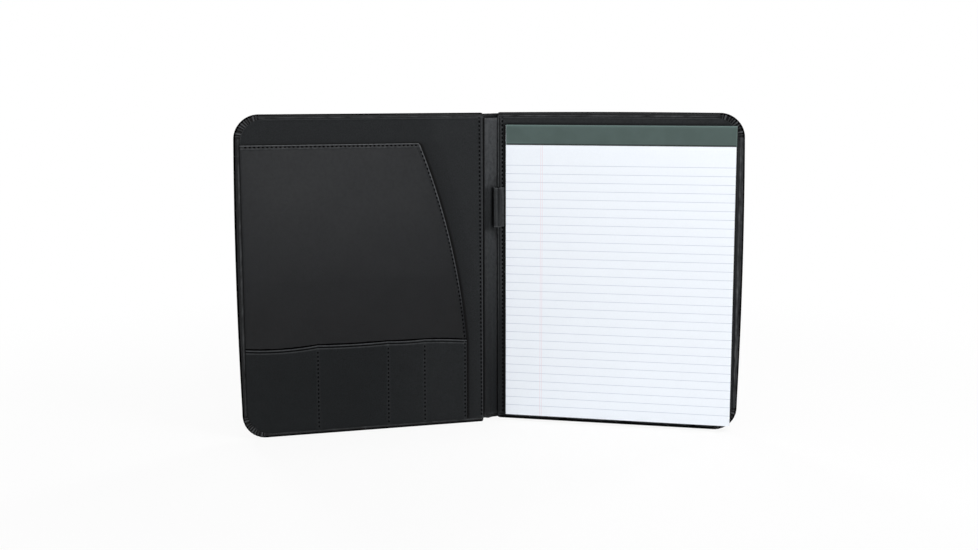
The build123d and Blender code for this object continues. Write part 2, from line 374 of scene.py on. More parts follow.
class Surface(Nodes):
    """A material with one principled surface."""

    def __init__(self, name, roughness, specular):
        self.material = bpy.data.materials.new(name)
        self.material.use_nodes = True
        super().__init__(self.material.node_tree)
        self.principled = self.tree.nodes["Principled BSDF"]
        self.principled.inputs["Roughness"].default_value = roughness
        self.principled.inputs["Specular IOR Level"].default_value = specular

    def place(self, measure="Object"):
        return self.add("TexCoord").outputs[measure]

    def flat(self):
        """The flat measure of a sheet."""
        return self.add("UVMap", uv_map="leaf").outputs["UV"]

    def wear_and_painted_light(self):
        return self.add("Attribute", attribute_name="wear_and_painted_light").outputs["Fac"]

    def link(self, value, name):
        self.tree.links.new(value, self.principled.inputs[name])

    def finish(self, colour, relief, strength, depth):
        """Gives the surface its colour and a relief of some depth in millimetres."""
        bump = self.add("Bump", {"Strength": strength, "Distance": depth * MM, "Height": relief})
        self.link(colour, "Base Color")
        self.link(bump.outputs["Normal"], "Normal")
        return self.material


def leather(name, dark, light, roughness, specular, grain, depth):
    """Embossed leatherette: pebbles of one grain size, parted by fine creases, with uneven gloss. The creases
    between pebbles are darker, as painted shade. A share above zero on a piece makes it paler, as painted
    highlight and sheen, and as rubbing at the spine's outer ends; below zero it makes it deep black, as painted
    shade and under stitches."""
    nodes = Surface(name, roughness, specular)
    place = nodes.place()
    bend = nodes.noise(place, 320.0, 3.0)
    bent = nodes.mix(0.0012, place, bend["Color"])
    pebbles = nodes.add("TexVoronoi", {"Vector": bent, "Scale": 1000.0 / grain}, feature="DISTANCE_TO_EDGE")
    domes = nodes.span(pebbles.outputs["Distance"], 0.0, 0.32, curve="SMOOTHSTEP")
    pores = nodes.noise(place, 2600.0, 2.0)["Fac"]
    relief = nodes.math("MULTIPLY_ADD", pores, 0.25, domes)
    cloud = nodes.noise(place, 26.0, 5.0)["Fac"]
    mottle = nodes.ramp(cloud, (0.3, dark), (0.72, light))
    # The creases between pebbles take a darker colour: painted shade.
    crease_shaded = nodes.mix(domes, opaque(dark, 0.55), mottle)
    wear_and_painted_light = nodes.wear_and_painted_light()
    patches = nodes.span(bend["Fac"], 0.3, 0.6, 0.6, 1.0)
    # Above zero the leatherette goes pale: painted highlight and sheen, and rubbing at the spine's outer ends.
    wear_and_light_share = nodes.math("MULTIPLY", wear_and_painted_light, patches, clamp=True)
    paler = nodes.mix(wear_and_light_share, crease_shaded, opaque(RUBBED_AND_HIGHLIGHT))
    # Below zero it goes deep black: painted shade, and black under stitches.
    shade_and_seam_share = nodes.math("MULTIPLY", wear_and_painted_light, -1.0, clamp=True)
    shade = nodes.mix(shade_and_seam_share, paler, opaque(SHADE_AND_SEAM_BLACK))
    nodes.link(nodes.span(cloud, 0.0, 1.0, roughness - 0.07, roughness + 0.09), "Roughness")
    return nodes.finish(shade, relief, 0.6, depth)


def twisted_thread(name, dark, light):
    """Sewing thread: fine twisted strands across each stitch."""
    nodes = Surface(name, 0.8, 0.0)
    strands = nodes.wave(nodes.place(), "DIAGONAL", 900.0, 1.5, 1.0)
    return nodes.finish(nodes.ramp(strands, (0.2, dark), (0.8, light)), strands, 0.5, 0.06)


def fibrous(name, dark, light, roughness, scale, depth):
    """Board or foam: a matt body with short fibres and a cloudy tone."""
    nodes = Surface(name, roughness, 0.25)
    place = nodes.place()
    fibres = nodes.noise(place, scale, 6.0, 0.65)["Fac"]
    cloud = nodes.noise(place, scale / 25, 3.0)["Fac"]
    tone = nodes.ramp(nodes.math("MULTIPLY_ADD", fibres, 0.6, cloud), (0.55, dark), (1.0, light))
    return nodes.finish(tone, fibres, 0.4, depth)


def striped_edge(name, dark, light):
    """The cut edges of many sheets: thin stripes along the stack's thickness on a paper body."""
    nodes = Surface(name, 0.75, 0.25)
    stripes = nodes.wave(nodes.place("UV"), "Y", 1.3, 2.0, 3.0)
    fibres = nodes.noise(nodes.place(), 900.0, 4.0)["Fac"]
    mixed = nodes.math("MULTIPLY_ADD", fibres, 0.5, stripes)
    return nodes.finish(nodes.ramp(mixed, (0.3, dark), (0.8, light)), mixed, 0.4, 0.08)


def ruled_paper(name, dark, light, rule, margin):
    """Writing paper with printed lines and a double margin, placed by the sheet's own flat measure."""
    nodes = Surface(name, 0.7, 0.25)
    measure = nodes.add("SeparateXYZ", {"Vector": nodes.flat()}).outputs
    across, height = measure["X"], measure["Y"]
    fibres = nodes.noise(nodes.place(), 700.0, 6.0, 0.7)["Fac"]
    paper = nodes.ramp(fibres, (0.35, dark), (0.6, light))
    last = RULE_FIRST - RULE_PITCH * (RULE_COUNT - 1)
    over_last = nodes.math("SUBTRACT", height, last)
    nearest = nodes.math("SNAP", nodes.math("ADD", over_last, RULE_PITCH / 2), RULE_PITCH)
    on_rule = nodes.band(nodes.math("SUBTRACT", over_last, nearest), RULE_WIDTH)
    below_head = nodes.math("LESS_THAN", height, RULE_FIRST + RULE_PITCH / 2)
    above_foot = nodes.math("GREATER_THAN", height, last - RULE_PITCH / 2)
    on_field = nodes.math("MULTIPLY", below_head, above_foot)
    ruled = nodes.mix(nodes.math("MULTIPLY", on_rule, on_field), paper, opaque(rule))
    for line in MARGIN_LINES:
        on_line = nodes.band(nodes.math("SUBTRACT", across, PAD_START + line), MARGIN_WIDTH)
        ruled = nodes.mix(on_line, ruled, opaque(margin))
    return nodes.finish(ruled, fibres, 0.25, 0.05)


def woven_tape(name, dark, light):
    """Binding tape: a fine plain weave, darker in a band along its foot as a painted shadow line, and paler where
    its share of rubbing and painted light is above zero.
    """
    nodes = Surface(name, 0.55, 0.3)
    flat = nodes.flat()
    weave = [nodes.wave(flat, direction, 0.55, 0.6, 2.0) for direction in ("X", "Y")]
    threads = nodes.math("MULTIPLY", *weave)
    cloud = nodes.noise(nodes.place(), 60.0, 5.0)["Fac"]
    tone = nodes.ramp(nodes.math("MULTIPLY_ADD", threads, 0.35, cloud), (0.4, dark), (0.85, light))
    height = nodes.add("SeparateXYZ", {"Vector": flat}).outputs["Y"]
    on_foot_shade = nodes.band(nodes.math("SUBTRACT", height, FOOT_SHADE_MIDDLE), FOOT_SHADE_WIDTH)
    foot_shaded = nodes.mix(on_foot_shade, tone, opaque(dark, 0.2))
    shade = nodes.mix(nodes.wear_and_painted_light(), foot_shaded, opaque(light, 1.6))
    return nodes.finish(shade, threads, 0.35, 0.1)


# Each leatherette: its darkest and lightest colour, roughness, specular level, grain and relief
LEATHERS = {
    "skin": ((0.0078, 0.0085, 0.0094), (0.0125, 0.0134, 0.0146), 0.40, 0.12, 1.8, 0.24),
    # The edge leatherette is near black and has no gloss: painted shade on rims and in shaded bands.
    "edge": ((0.0010, 0.0010, 0.0012), (0.0022, 0.0023, 0.0026), 0.80, 0.0, 1.8, 0.12),
    "lining": ((0.0163, 0.0180, 0.0197), (0.0212, 0.0231, 0.0251), 0.46, 0.07, 0.7, 0.08),
    "pocket": ((0.0036, 0.0045, 0.0060), (0.0060, 0.0071, 0.0090), 0.34, 0.15, 0.8, 0.07),
    "strip": ((0.0086, 0.0101, 0.0113), (0.0118, 0.0135, 0.0150), 0.42, 0.08, 0.8, 0.07),
    # The spine leatherette is a slightly lighter copy of the lining's: painted sheen, also on the pen loop strap.
    "spine": ((0.0172, 0.0185, 0.0199), (0.0224, 0.0238, 0.0255), 0.46, 0.06, 0.8, 0.06),
}
SKIN, SHADE_BLACK_LEATHER, LINING, POCKET, STRIP, SPINE_SHEEN = [
    leather(f"leatherette_{name}", *look) for name, look in LEATHERS.items()
]
THREAD = twisted_thread("black_thread", (0.0012, 0.0012, 0.00144), (0.0020, 0.0020, 0.0024))
RULED = ruled_paper(
    "ruled_paper", (0.835, 0.875, 0.93), (0.86, 0.90, 0.955), (0.50, 0.55, 0.64), (0.80, 0.64, 0.70)
)
EDGES = striped_edge("paper_edges", (0.70, 0.725, 0.76), (0.86, 0.89, 0.93))
TAPE = woven_tape("binding_tape", (0.051, 0.079, 0.073), (0.062, 0.094, 0.088))
# The pad's backing chipboard is made darker than grey board: painted shade along the pad's side.
CHIPBOARD = fibrous("dark_chipboard", (0.022, 0.022, 0.023), (0.050, 0.049, 0.048), 0.85, 420.0, 0.08)
BOARD = fibrous("cover_board", (0.20, 0.17, 0.13), (0.38, 0.33, 0.26), 0.85, 380.0, 0.08)
FOAM = fibrous("cover_foam", (0.45, 0.44, 0.40), (0.66, 0.65, 0.60), 0.9, 620.0, 0.12)

for material, node_names in (
    (BOARD, ("front_board", "back_board", "front_infill", "back_infill", "spine_stiffener")),
    (FOAM, ("front_padding", "back_padding")),
    (CHIPBOARD, ("pad_backing",)),
):
    for node_name in node_names:
        NODES[node_name].data.materials.clear()
        NODES[node_name].data.materials.append(material)


# Covers: one skin over the outer side, rolled round the edges and turned in as a gathered hem
CROWN = 0.5
CROWN_REACH = 6.0
STRAIGHT_STEPS = 40
ARC_STEPS = 130
CORNER_CENTRE = PANEL_EDGE - CORNER_RADIUS
CORNER_RISES = (CORNER_RADIUS, COVER_HEIGHT - CORNER_RADIUS)
CREASE_ROUND = 1.6
CREASE_STEPS = (0.0, 0.2, 0.45, 0.8, 1.2, 1.7)
CREASE_END = 4.5
HEM_STRETCH = 5.0
SIDE_BOW = 1.9
SIDE_BOW_MIDDLE = 170.0
SIDE_BOW_REACH = 135.0
TOP_BOW = {FRONT: 0.0, BACK: 0.65}
PLEATS = 10
PLEAT_MARGIN = radians(4)
PLEAT_HEIGHT = 0.6
HEM_UNEVENNESS = 0.07

# The skin's profile: insets on the outer side, then (inset, level, share of the pleats' height)
OUTER_INSETS = (22.0, 17.0, 12.5, 9.0, 6.2, 4.2, 2.8, 1.9)
EDGE_WALL = [(0.0, 1.2, 0.15), (0.0, 1.9, 0.35)]
HEM = [(1.8, 4.02, 1.0), (2.3, 4.14, 1.0), (2.8, 4.16, 1.0), (3.3, 4.05, 1.0), (3.8, 3.92, 0.9)]
HEM += [(4.4, 3.88, 1.0), (5.2, 3.86, 1.0), (6.2, 3.84, 0.9), (8.0, 3.8, 0.3)]
TURNED_LEVEL = 3.8
EDGE_LEVELS = (0.4, 3.6)

# How far in the skin is painted black as shade along its outer, lower and upper edges, and how much painted
# highlight its hem gets
RIM_INSET = {FRONT: 1.3, BACK: 1.6}
FOOT_RIM_INSET = {FRONT: 1.9, BACK: 5.0}
TOP_RIM_INSET = {FRONT: 1.0, BACK: 0.4}
HEM_HIGHLIGHT = {FRONT: 1.0, BACK: 1.4}
SIDE_HIGHLIGHT = {FRONT: 0.0, BACK: 0.45}


def straight_runs():
    """Places along an edge from the crease to a corner, close together where the crease end is rounded."""
    near = [PANEL_START + step for step in CREASE_STEPS]
    far = np.linspace(PANEL_START + CREASE_END, CORNER_CENTRE, STRAIGHT_STEPS - len(near))
    return np.concatenate([near, far])


def edge_ring(leaf, inset):
    """Places along the lower edge, round the outer corners and back along the upper edge, at one inset.
    Each is (across, height, turn), where the turn is the angle round a corner, or -1 on a straight run.
    The outer edge bows out at its middle, which stretches the hem."""
    radius = CORNER_RADIUS - inset
    low, high = CORNER_RISES
    runs = straight_runs()
    rises = np.linspace(low, high, STRAIGHT_STEPS)
    turns = np.linspace(0, pi / 2, ARC_STEPS)[1:-1]
    short = np.clip(CREASE_ROUND - (runs - PANEL_START), 0, CREASE_ROUND)
    lift = (CREASE_ROUND - np.sqrt(CREASE_ROUND ** 2 - short ** 2)) * smooth(12.0, 5.0, inset)
    ring = [(across, inset + up, -1) for across, up in zip(runs, lift)]
    ring += [(CORNER_CENTRE + radius * sin(t), low - radius * cos(t), t) for t in turns]
    ring += [(PANEL_EDGE - inset, height, -1) for height in rises]
    ring += [(CORNER_CENTRE + radius * cos(t), high + radius * sin(t), t) for t in turns]
    ring += [(across, COVER_HEIGHT - inset - up, -1) for across, up in zip(runs[::-1], lift[::-1])]
    ring = np.array(ring)
    across, height = ring[:, 0].copy(), ring[:, 1].copy()
    stretch = smooth(HEM_STRETCH, 0.0, inset)
    bow = SIDE_BOW * np.maximum(1 - ((height - SIDE_BOW_MIDDLE) / SIDE_BOW_REACH) ** 2, -0.15)
    ring[:, 0] += stretch * bow * np.clip((across - CORNER_CENTRE) / max(radius, 1.0), 0, 1)
    arch = np.sin(pi * (across - PANEL_START) / (PANEL_EDGE - PANEL_START))
    ring[:, 1] += stretch * TOP_BOW[leaf] * arch * (height > high)
    return ring


def crown_level(across, inset):
    """The padded outer side: full in the middle, and drawn down at its edges and at the crease."""
    edge = np.minimum(inset, across - PANEL_START)
    return SKIN_LEVEL - CROWN * (1 - np.exp(-np.maximum(edge, 0) / CROWN_REACH))


def gathers(turn):
    """Uneven rounded folds with sharp valleys round a corner."""
    share = np.clip((turn - PLEAT_MARGIN) / (pi / 2 - 2 * PLEAT_MARGIN), 0, 1)
    uneven = 0.16 * np.sin(2 * pi * 1.7 * share + 0.6) + 0.10 * np.sin(2 * pi * 3.1 * share)
    swell = 0.92 + 0.12 * np.sin(2 * pi * 2.3 * share + 1.0)
    fade = smooth(0.0, 0.06, share) * smooth(1.0, 0.94, share)
    return (swell * np.abs(np.sin(pi * (PLEATS * share + uneven))) - 0.5) * fade


def hem_places(inset, level, pleat, ring, seed):
    """The rounded edge and the hem, which the folds push outwards and up."""
    across, height, turn = ring.T
    fold = np.where(turn >= 0, gathers(turn), 0.0) * PLEAT_HEIGHT * pleat
    fold = fold + HEM_UNEVENNESS * ripple(across, height, 19.0, seed) * pleat
    out = np.clip((EDGE_ROUND - inset) / EDGE_ROUND, 0, 1)
    centre = np.stack([np.minimum(across, CORNER_CENTRE), np.clip(height, *CORNER_RISES)], axis=1)
    shift = unit(ring[:, :2] - centre) * (fold * out * 0.6)[:, None]
    return np.column_stack([ring[:, :2] + shift, level + fold * (1 - out)])


def hem_painted_light(leaf, inset, ring, seed):
    """The turned-in hem's painted light: painted highlight lines on its ridges along its straight runs, painted
    shade in the groove between them and beside the lining's edge, a further painted highlight on the back cover's
    outer side, and on each fold round a corner a painted highlight on the fold and painted shade in its valley.
    """
    across, height, turn = ring.T
    uneven = np.clip(0.6 + 0.5 * ripple(across, height, 9.0, seed + 20), 0, 1)
    lines = HEM_HIGHLIGHT[leaf] * (0.55 * groove(inset - 3.2, 0.7) + 0.15 * groove(inset - 1.5, 0.4))
    lines = uneven * (lines - 0.5 * groove(inset - 2.2, 0.35)) - 0.7 * smooth(3.9, 4.4, inset)
    on_side = smooth(PANEL_EDGE - 9, PANEL_EDGE - 7, across)
    on_side = on_side * smooth(0.9, 1.4, inset) * smooth(3.4, 2.8, inset)
    lines = lines + SIDE_HIGHLIGHT[leaf] * on_side * (0.6 + 0.5 * ripple(across, height, 4.5, seed + 30))
    in_hem = smooth(0.6, 1.2, inset) * smooth(7.2, 5.8, inset)
    folds = in_hem * (0.75 + 0.25 * uneven) * np.clip((gathers(turn) - 0.2) * 3.2, -1, 0.65)
    return np.where(turn >= 0, folds, lines)


def skin_profile():
    """(inset, level, pleat) from the outer side round the edge to the hidden end of the hem.
    The level is None on the outer side, where the crown sets it."""
    quarter = np.linspace(0, pi / 2, 7)
    profile = [(inset, None, 0.0) for inset in OUTER_INSETS]
    profile += [
        (EDGE_ROUND * (1 - sin(t)), SKIN_LEVEL + EDGE_ROUND * (1 - cos(t)), 0.0) for t in quarter
    ]
    profile += EDGE_WALL
    profile += [
        (EDGE_ROUND * (1 - cos(t)), HEM_LEVEL - EDGE_ROUND * (1 - sin(t)), 0.5 + 0.5 * sin(t))
        for t in quarter
    ]
    return profile + HEM


def cover_shell(name, leaf, seed):
    """The skin of one cover. Its rounded edge and rim are painted black as shade, and on the back one
    the hem under the pad's foot is painted black as shade.
    """
    profile = skin_profile()
    rings, ring_painted_light = [], []
    for inset, level, pleat in profile:
        ring = edge_ring(leaf, inset)
        if level is None:
            rings.append(np.column_stack([ring[:, :2], crown_level(ring[:, 0], inset)]))
            ring_painted_light.append(np.zeros(len(ring)))
        else:
            rings.append(hem_places(inset, level, pleat, ring, seed))
            on_edge = EDGE_LEVELS[0] < level <= EDGE_LEVELS[1]
            # The wall of the rolled edge is painted dark as shade.
            ring_painted_light.append((level > TURNED_LEVEL) * hem_painted_light(leaf, inset, ring, seed) - 0.8 * on_edge)
    count = len(rings[0])
    points = np.concatenate(rings)
    faces = grid_faces(len(rings), count)

    across, height = np.meshgrid(straight_runs(), np.linspace(*CORNER_RISES, STRAIGHT_STEPS))
    field = np.stack([across, height, crown_level(across, CORNER_RADIUS)], axis=-1).reshape(-1, 3)
    faces += grid_faces(STRAIGHT_STEPS, STRAIGHT_STEPS, len(points))
    wear_and_painted_light = np.concatenate([*ring_painted_light, np.zeros(len(field))])

    insets = np.array([inset for inset, level, pleat in profile])
    row_insets = (insets[:-1] + insets[1:]) / 2
    turned_rows = np.array([level is not None for inset, level, pleat in profile[:-1]])
    # Black cells: painted shade on the rolled rim, along the top, and on the back cover's hem under the pad's
    # foot.
    black = np.repeat((row_insets < RIM_INSET[leaf])[:, None], count - 1, axis=1)
    black[:, -STRAIGHT_STEPS:] = (row_insets < TOP_RIM_INSET[leaf])[:, None]
    black[turned_rows & (row_insets < FOOT_RIM_INSET[leaf]), :STRAIGHT_STEPS] = True
    flags = np.zeros(len(faces), bool)
    flags[: black.size] = black.ravel()
    places = leaf.place(np.concatenate([points, field]))
    piece = new_piece(name, places, faces, SKIN, wear_and_painted_light=wear_and_painted_light, trim=(SHADE_BLACK_LEATHER, flags))
    solid = piece.modifiers.new("skin thickness", "SOLIDIFY")
    solid.thickness = SKIN_THICKNESS * MM
    solid.offset = -1.0
    return piece


for body, leaf, seed in (("front_cover", FRONT, 3), ("back_cover", BACK, 4)):
    side = body.split("_")[0]
    skin = cover_shell(f"{side}_cover_skin", leaf, seed)
    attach(skin, body)
    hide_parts(f"{side}_skin")


# Linings: a sheet over the board and the hem, rolled over the crease edge and sewn beside it
EDGE_STEPS = (0.0, 0.25, 0.5, 0.75, 1.0, 1.3, 1.7, 2.2)
MOUTH_STEPS = (0.0, 0.5, 1.0, 1.6, 2.4, 3.4, 4.8)
SEAM_STEPS = (0.0, 0.4, 0.8, 1.2, 1.6, 2.0, 2.4, 2.8, 3.2, 3.7, 4.2, 4.8, 5.4, 6.2, 7.2, 8.5, 10.5)
ROLLED_EDGE = ((0.0, 0.2), (0.0, 1.4), (0.0, 2.6), (0.0, 3.5), (0.06, 3.82), (0.22, 4.05))
LINING_CORNER_STEPS = 22
SEAM_ENDS = {FRONT: (3.4, 5.3), BACK: (6.8, 6.2)}
CREASE_RIDGE = 2.4
BACK_CREASE = 3.5
# Painted sheen along the back crease, and painted light that makes the whole back lining paler.
CREASE_SHEEN = 0.6
BACK_LINING_LIGHT = 0.125


def seam_across(leaf, height):
    """Where the lining's seam runs beside the crease."""
    foot, head = SEAM_ENDS[leaf]
    return foot + (head - foot) * height / COVER_HEIGHT


def seam_shade(apart, along):
    """How dark a sewn line is: black under each stitch, and paler between two of them as a painted highlight."""
    return groove(apart, 0.7) * (0.35 + 0.65 * np.cos(2 * pi * along / STITCH_PITCH))


def edge_shade(apart):
    """How dark a sheet is beside the edge of one that lies on it: black at the edge, then fading."""
    return 0.6 * smooth(3.0, 2.0, apart) + 0.55 * np.exp(-apart / 5.0)


def pad_shade(across, height):
    """How dark the back lining is along the pad's two sides."""
    left = smooth(7.0, 7.5, across) * smooth(PAD_START + 4, PAD_START + 2, across)
    right = smooth(PAD_EDGE + 2.0, PAD_EDGE + 0.8, across) * smooth(PAD_EDGE - 3, PAD_EDGE - 2, across)
    right = right * (0.55 + 0.45 * smooth(270, 180, height))
    beside = smooth(PAD_FOOT - 1, PAD_FOOT + 1, height) * smooth(PAD_TOP + 1, PAD_TOP - 1, height)
    return (left + right) * beside + 0.3 * groove(height - PAD_TOP - 0.8, 1.0)


def to_lining_edge(across, height):
    """How far a place is from the nearest of a lining's lower, upper and outer edges."""
    edge = np.minimum(height - LINING_FOOT, LINING_TOP - height)
    return np.minimum(edge, outer_edge(height, HEM_WIDTH) - across)


def lining_level(leaf, across, height):
    apart = across - seam_across(leaf, height)
    level = LINING_MIDDLE - 0.2 * groove(apart, 0.6) + 0.1 * pucker(apart, height, 1.6)
    level = level + 0.22 * groove(to_lining_edge(across, height) - 1.1, 0.55)
    return level + 0.05 * ripple(across, height, 34.0, 7) * smooth(6, 20, across)


def crease_sheen(height):
    """How much painted sheen the back lining gets at its crease: more towards its head."""
    return CREASE_SHEEN * height / COVER_HEIGHT


def lining_painted_light(leaf, across, height):
    """Painted highlight at its edges, black along its seam, and painted light and shade set out below."""
    wear_and_painted_light = 0.2 * smooth(1.2, 0.5, to_lining_edge(across, height))
    wear_and_painted_light = wear_and_painted_light - seam_shade(across - seam_across(leaf, height), height)
    if leaf is FRONT:
        # Front: a painted highlight on the ridge beside the crease, painted shade beside the pocket's edge, and
        # slightly paler more than 8 mm from the pocket's mouth towards the crease.
        beside = mouth_edge(np.minimum(height, POCKET_TOP)) - across
        apart = np.hypot(np.maximum(beside, 0), 4.0 * np.maximum(height - POCKET_TOP, 0))
        wear_and_painted_light = wear_and_painted_light + 0.5 * groove(across - CREASE_RIDGE, 0.5)
        return wear_and_painted_light - edge_shade(apart) + 0.035 * smooth(8, 20, beside)
    # Back: paler overall and towards the crease's head as painted light and sheen, paler still from the crease to
    # the seam as painted light, a painted shade line in the crease, darker low down near the crease, and painted
    # shade beside the pad.
    wear_and_painted_light = wear_and_painted_light + BACK_LINING_LIGHT + crease_sheen(height) * smooth(3.0, 2.5, across)
    wear_and_painted_light = wear_and_painted_light + 0.15 * smooth(7.2, 6.4, across) * smooth(60, 140, height)
    wear_and_painted_light = wear_and_painted_light - 0.65 * (0.2 + 0.8 * smooth(60, 190, height)) * groove(across - BACK_CREASE, 0.6)
    return wear_and_painted_light - 0.3 * smooth(150, 60, height) * smooth(9, 7, across) - pad_shade(across, height)


def lining_sheet(name, leaf):
    half = LINING_THICKNESS / 2
    heights = np.arange(LINING_FOOT + half, LINING_TOP - half, STITCH_PITCH / 4)
    corners = corner_heights(LINING_FOOT + half, LINING_CORNER_STEPS)
    arc_end = corners[-1] + 0.3
    heights = heights[(heights > arc_end) & (heights < COVER_HEIGHT - arc_end)]
    heights = np.concatenate([corners, heights, COVER_HEIGHT - corners[::-1]])
    far = outer_edge(heights, HEM_WIDTH + half)
    near = np.full_like(heights, LINING_START + 0.5)
    if leaf is FRONT:
        mouth = mouth_edge(np.minimum(heights, POCKET_TOP))
        before = spread(near, mouth, SEAM_STEPS, MOUTH_STEPS, 6)
        across = np.concatenate([before, spread(mouth + 1.0, far, (0.0, 2.0), EDGE_STEPS, 22)], axis=1)
    else:
        across = spread(near, far, SEAM_STEPS, EDGE_STEPS, 26)
    tall = np.broadcast_to(heights[:, None], across.shape)
    flat = np.stack([across, tall, lining_level(leaf, across, tall)], axis=-1)

    roll_steps, roll_levels = np.array(ROLLED_EDGE).T
    roll_across, roll_tall = np.meshgrid(LINING_START + roll_steps, heights)
    rolled = np.stack([roll_across, roll_tall, np.broadcast_to(roll_levels, roll_tall.shape)], axis=-1)
    # The rolled edge is painted black as crease shade on the front cover, and paler as painted sheen on the back.
    rolled_painted_light = np.full(roll_tall.shape, -1.0) if leaf is FRONT else 0.3 + crease_sheen(roll_tall)
    wear_and_painted_light = np.concatenate([rolled_painted_light, lining_painted_light(leaf, across, tall)], axis=1)
    middle = np.concatenate([rolled, flat], axis=1)
    return thick_sheet(name, leaf, middle, LINING_THICKNESS, LINING, wear_and_painted_light)


def stitches(name, leaf, path, along, width=STITCH_WIDTH):
    """A row of thread stitches on a path of surface places, one on each whole pitch of the measure along."""
    sides, stations = 10, 7
    order = np.argsort(along)
    path, along = np.asarray(path, float)[order], np.asarray(along, float)[order]
    shares = np.linspace(0, 1, stations)
    turns = np.linspace(0, 2 * pi, sides, endpoint=False)
    first_stitch = ceil((along[0] + STITCH_LENGTH / 2) / STITCH_PITCH)
    last_stitch = floor((along[-1] - STITCH_LENGTH / 2) / STITCH_PITCH)
    places, faces = [], []
    for number in range(first_stitch, last_stitch + 1):
        at = number * STITCH_PITCH + (shares - 0.5) * STITCH_LENGTH
        line = np.stack([np.interp(at, along, path[:, axis]) for axis in range(3)], axis=1)
        line[:, 2] += STITCH_ARCH * (1 - (2 * shares - 1) ** 2) - STITCH_SINK
        side = unit(np.cross(line[-1] - line[0], UP))
        rings = []
        for centre, share in zip(line, shares):
            swell = max(0.25, (1 - (2 * share - 1) ** 4)) ** 0.5
            rings.append(range(len(places), len(places) + sides))
            places += [
                centre + swell * (side * width * cos(turn) + UP * STITCH_HEIGHT * sin(turn)) for turn in turns
            ]
        for ring, next_ring in zip(rings, rings[1:]):
            faces += tube_faces(ring, next_ring)
        faces += [tuple(rings[0]), tuple(rings[-1])]
    return new_piece(name, leaf.place(places), faces, THREAD)


for body, leaf in (("front_cover", FRONT), ("back_cover", BACK)):
    side = body.split("_")[0]
    lining = lining_sheet(f"{side}_lining_sheet", leaf)
    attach(lining, body)
    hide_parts(f"{side}_lining")
    seam_heights = np.arange(LINING_FOOT + 2, LINING_TOP - 2, 1.0)
    seam = seam_across(leaf, seam_heights)
    surface = lining_level(leaf, seam, seam_heights) + LINING_THICKNESS / 2
    path = np.stack([seam, seam_heights, surface], axis=1)
    thread = stitches(f"{side}_crease_stitches", leaf, path, seam_heights, FINE_STITCH_WIDTH)
    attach(thread, body)


# Document pocket: sewn down at its outer, lower and lower inner edges, with a slanted mouth
SEAM_INSET = 1.8
SWELL = 2.3
SWELL_HEIGHT = 170.0
POCKET_FOLD = 3.6
POCKET_CORNERS = corner_heights(LINING_FOOT + POCKET_HALF, 12)
POCKET_STEP = 1.95
RIM_STEPS = (0.0, 0.3, 0.6, 0.85, 1.1, 1.4, 1.65, 1.9, 2.15, 2.5, 2.9, 3.3, 3.7, 4.2)
STRIP_SEAMS = (POCKET_START + SEAM_INSET, *DIVIDERS, LINING_EDGE)
STRIP_LIFTS = (-0.55, 2.2, 2.3, 2.3, 1.3)
STRIP_SAGS = (-0.6, 0.3, 0.5, 1.7)


def pocket_swell(across, height):
    """How far the pocket stands off its lining between its sewn edges."""
    near = mouth_edge(height)
    share = np.clip((across - near) / (LINING_EDGE - near), 0, 1)
    up = 1 - ((height - SWELL_HEIGHT) / (POCKET_TOP + 4 - SWELL_HEIGHT)) ** 2
    down = np.cos(np.clip((SWELL_HEIGHT - height) / (SWELL_HEIGHT - LINING_FOOT), 0, 1) * pi / 2) ** 2
    bow = SWELL * np.where(height > SWELL_HEIGHT, up, down)
    return bow * (4 * share * (1 - share)) ** 0.55


def sewn_edges(across, height):
    """1 along the outer and lower edges, where a pocket is drawn down to its lining."""
    return groove(outer_edge(height, HEM_WIDTH) - across, 1.0) + groove(height - LINING_FOOT, 1.0)


def between_seams(across):
    """Which card pocket a place is in, and its share of the way between that pocket's seams."""
    seams = np.array(STRIP_SEAMS)
    index = np.clip(np.searchsorted(seams, across) - 1, 0, len(seams) - 2)
    return index, np.clip((across - seams[index]) / (seams[index + 1] - seams[index]), 0, 1)


def strip_top(across):
    """The strip's upper edge: held at the seams and more or less slack between them."""
    index, share = between_seams(across)
    held = STRIP_TOP + np.interp(across, STRIP_SEAMS, STRIP_LIFTS)
    return held - np.array(STRIP_SAGS)[index] * 4 * share * (1 - share)


def folded_rim(inside, fold):
    """A turned edge: the sheet lies double along it, and slopes off over its last millimetre."""
    double = 0.32 * smooth(fold + 0.5, fold - 0.3, inside)
    slope = 0.5 * np.clip(1 - inside / 1.1, 0, 1)
    return double - slope


def pocket_level(across, height):
    level = POCKET_MIDDLE + pocket_swell(across, height)
    below_top = POCKET_TOP - height
    inside = across - mouth_edge(height)
    for apart, along in ((below_top, across), (inside, height)):
        level = level - 0.14 * groove(apart - SEAM_INSET, 0.5) + folded_rim(apart, POCKET_FOLD)
        level = level + 0.06 * pucker(apart - SEAM_INSET, along, 1.3)
    level = level - 0.35 * sewn_edges(across, height)
    wide = ripple(across, height, 70.0, 21) * smooth(3, 25, inside)
    return level + 0.10 * wide + 0.03 * ripple(across, height, 16.0, 22)


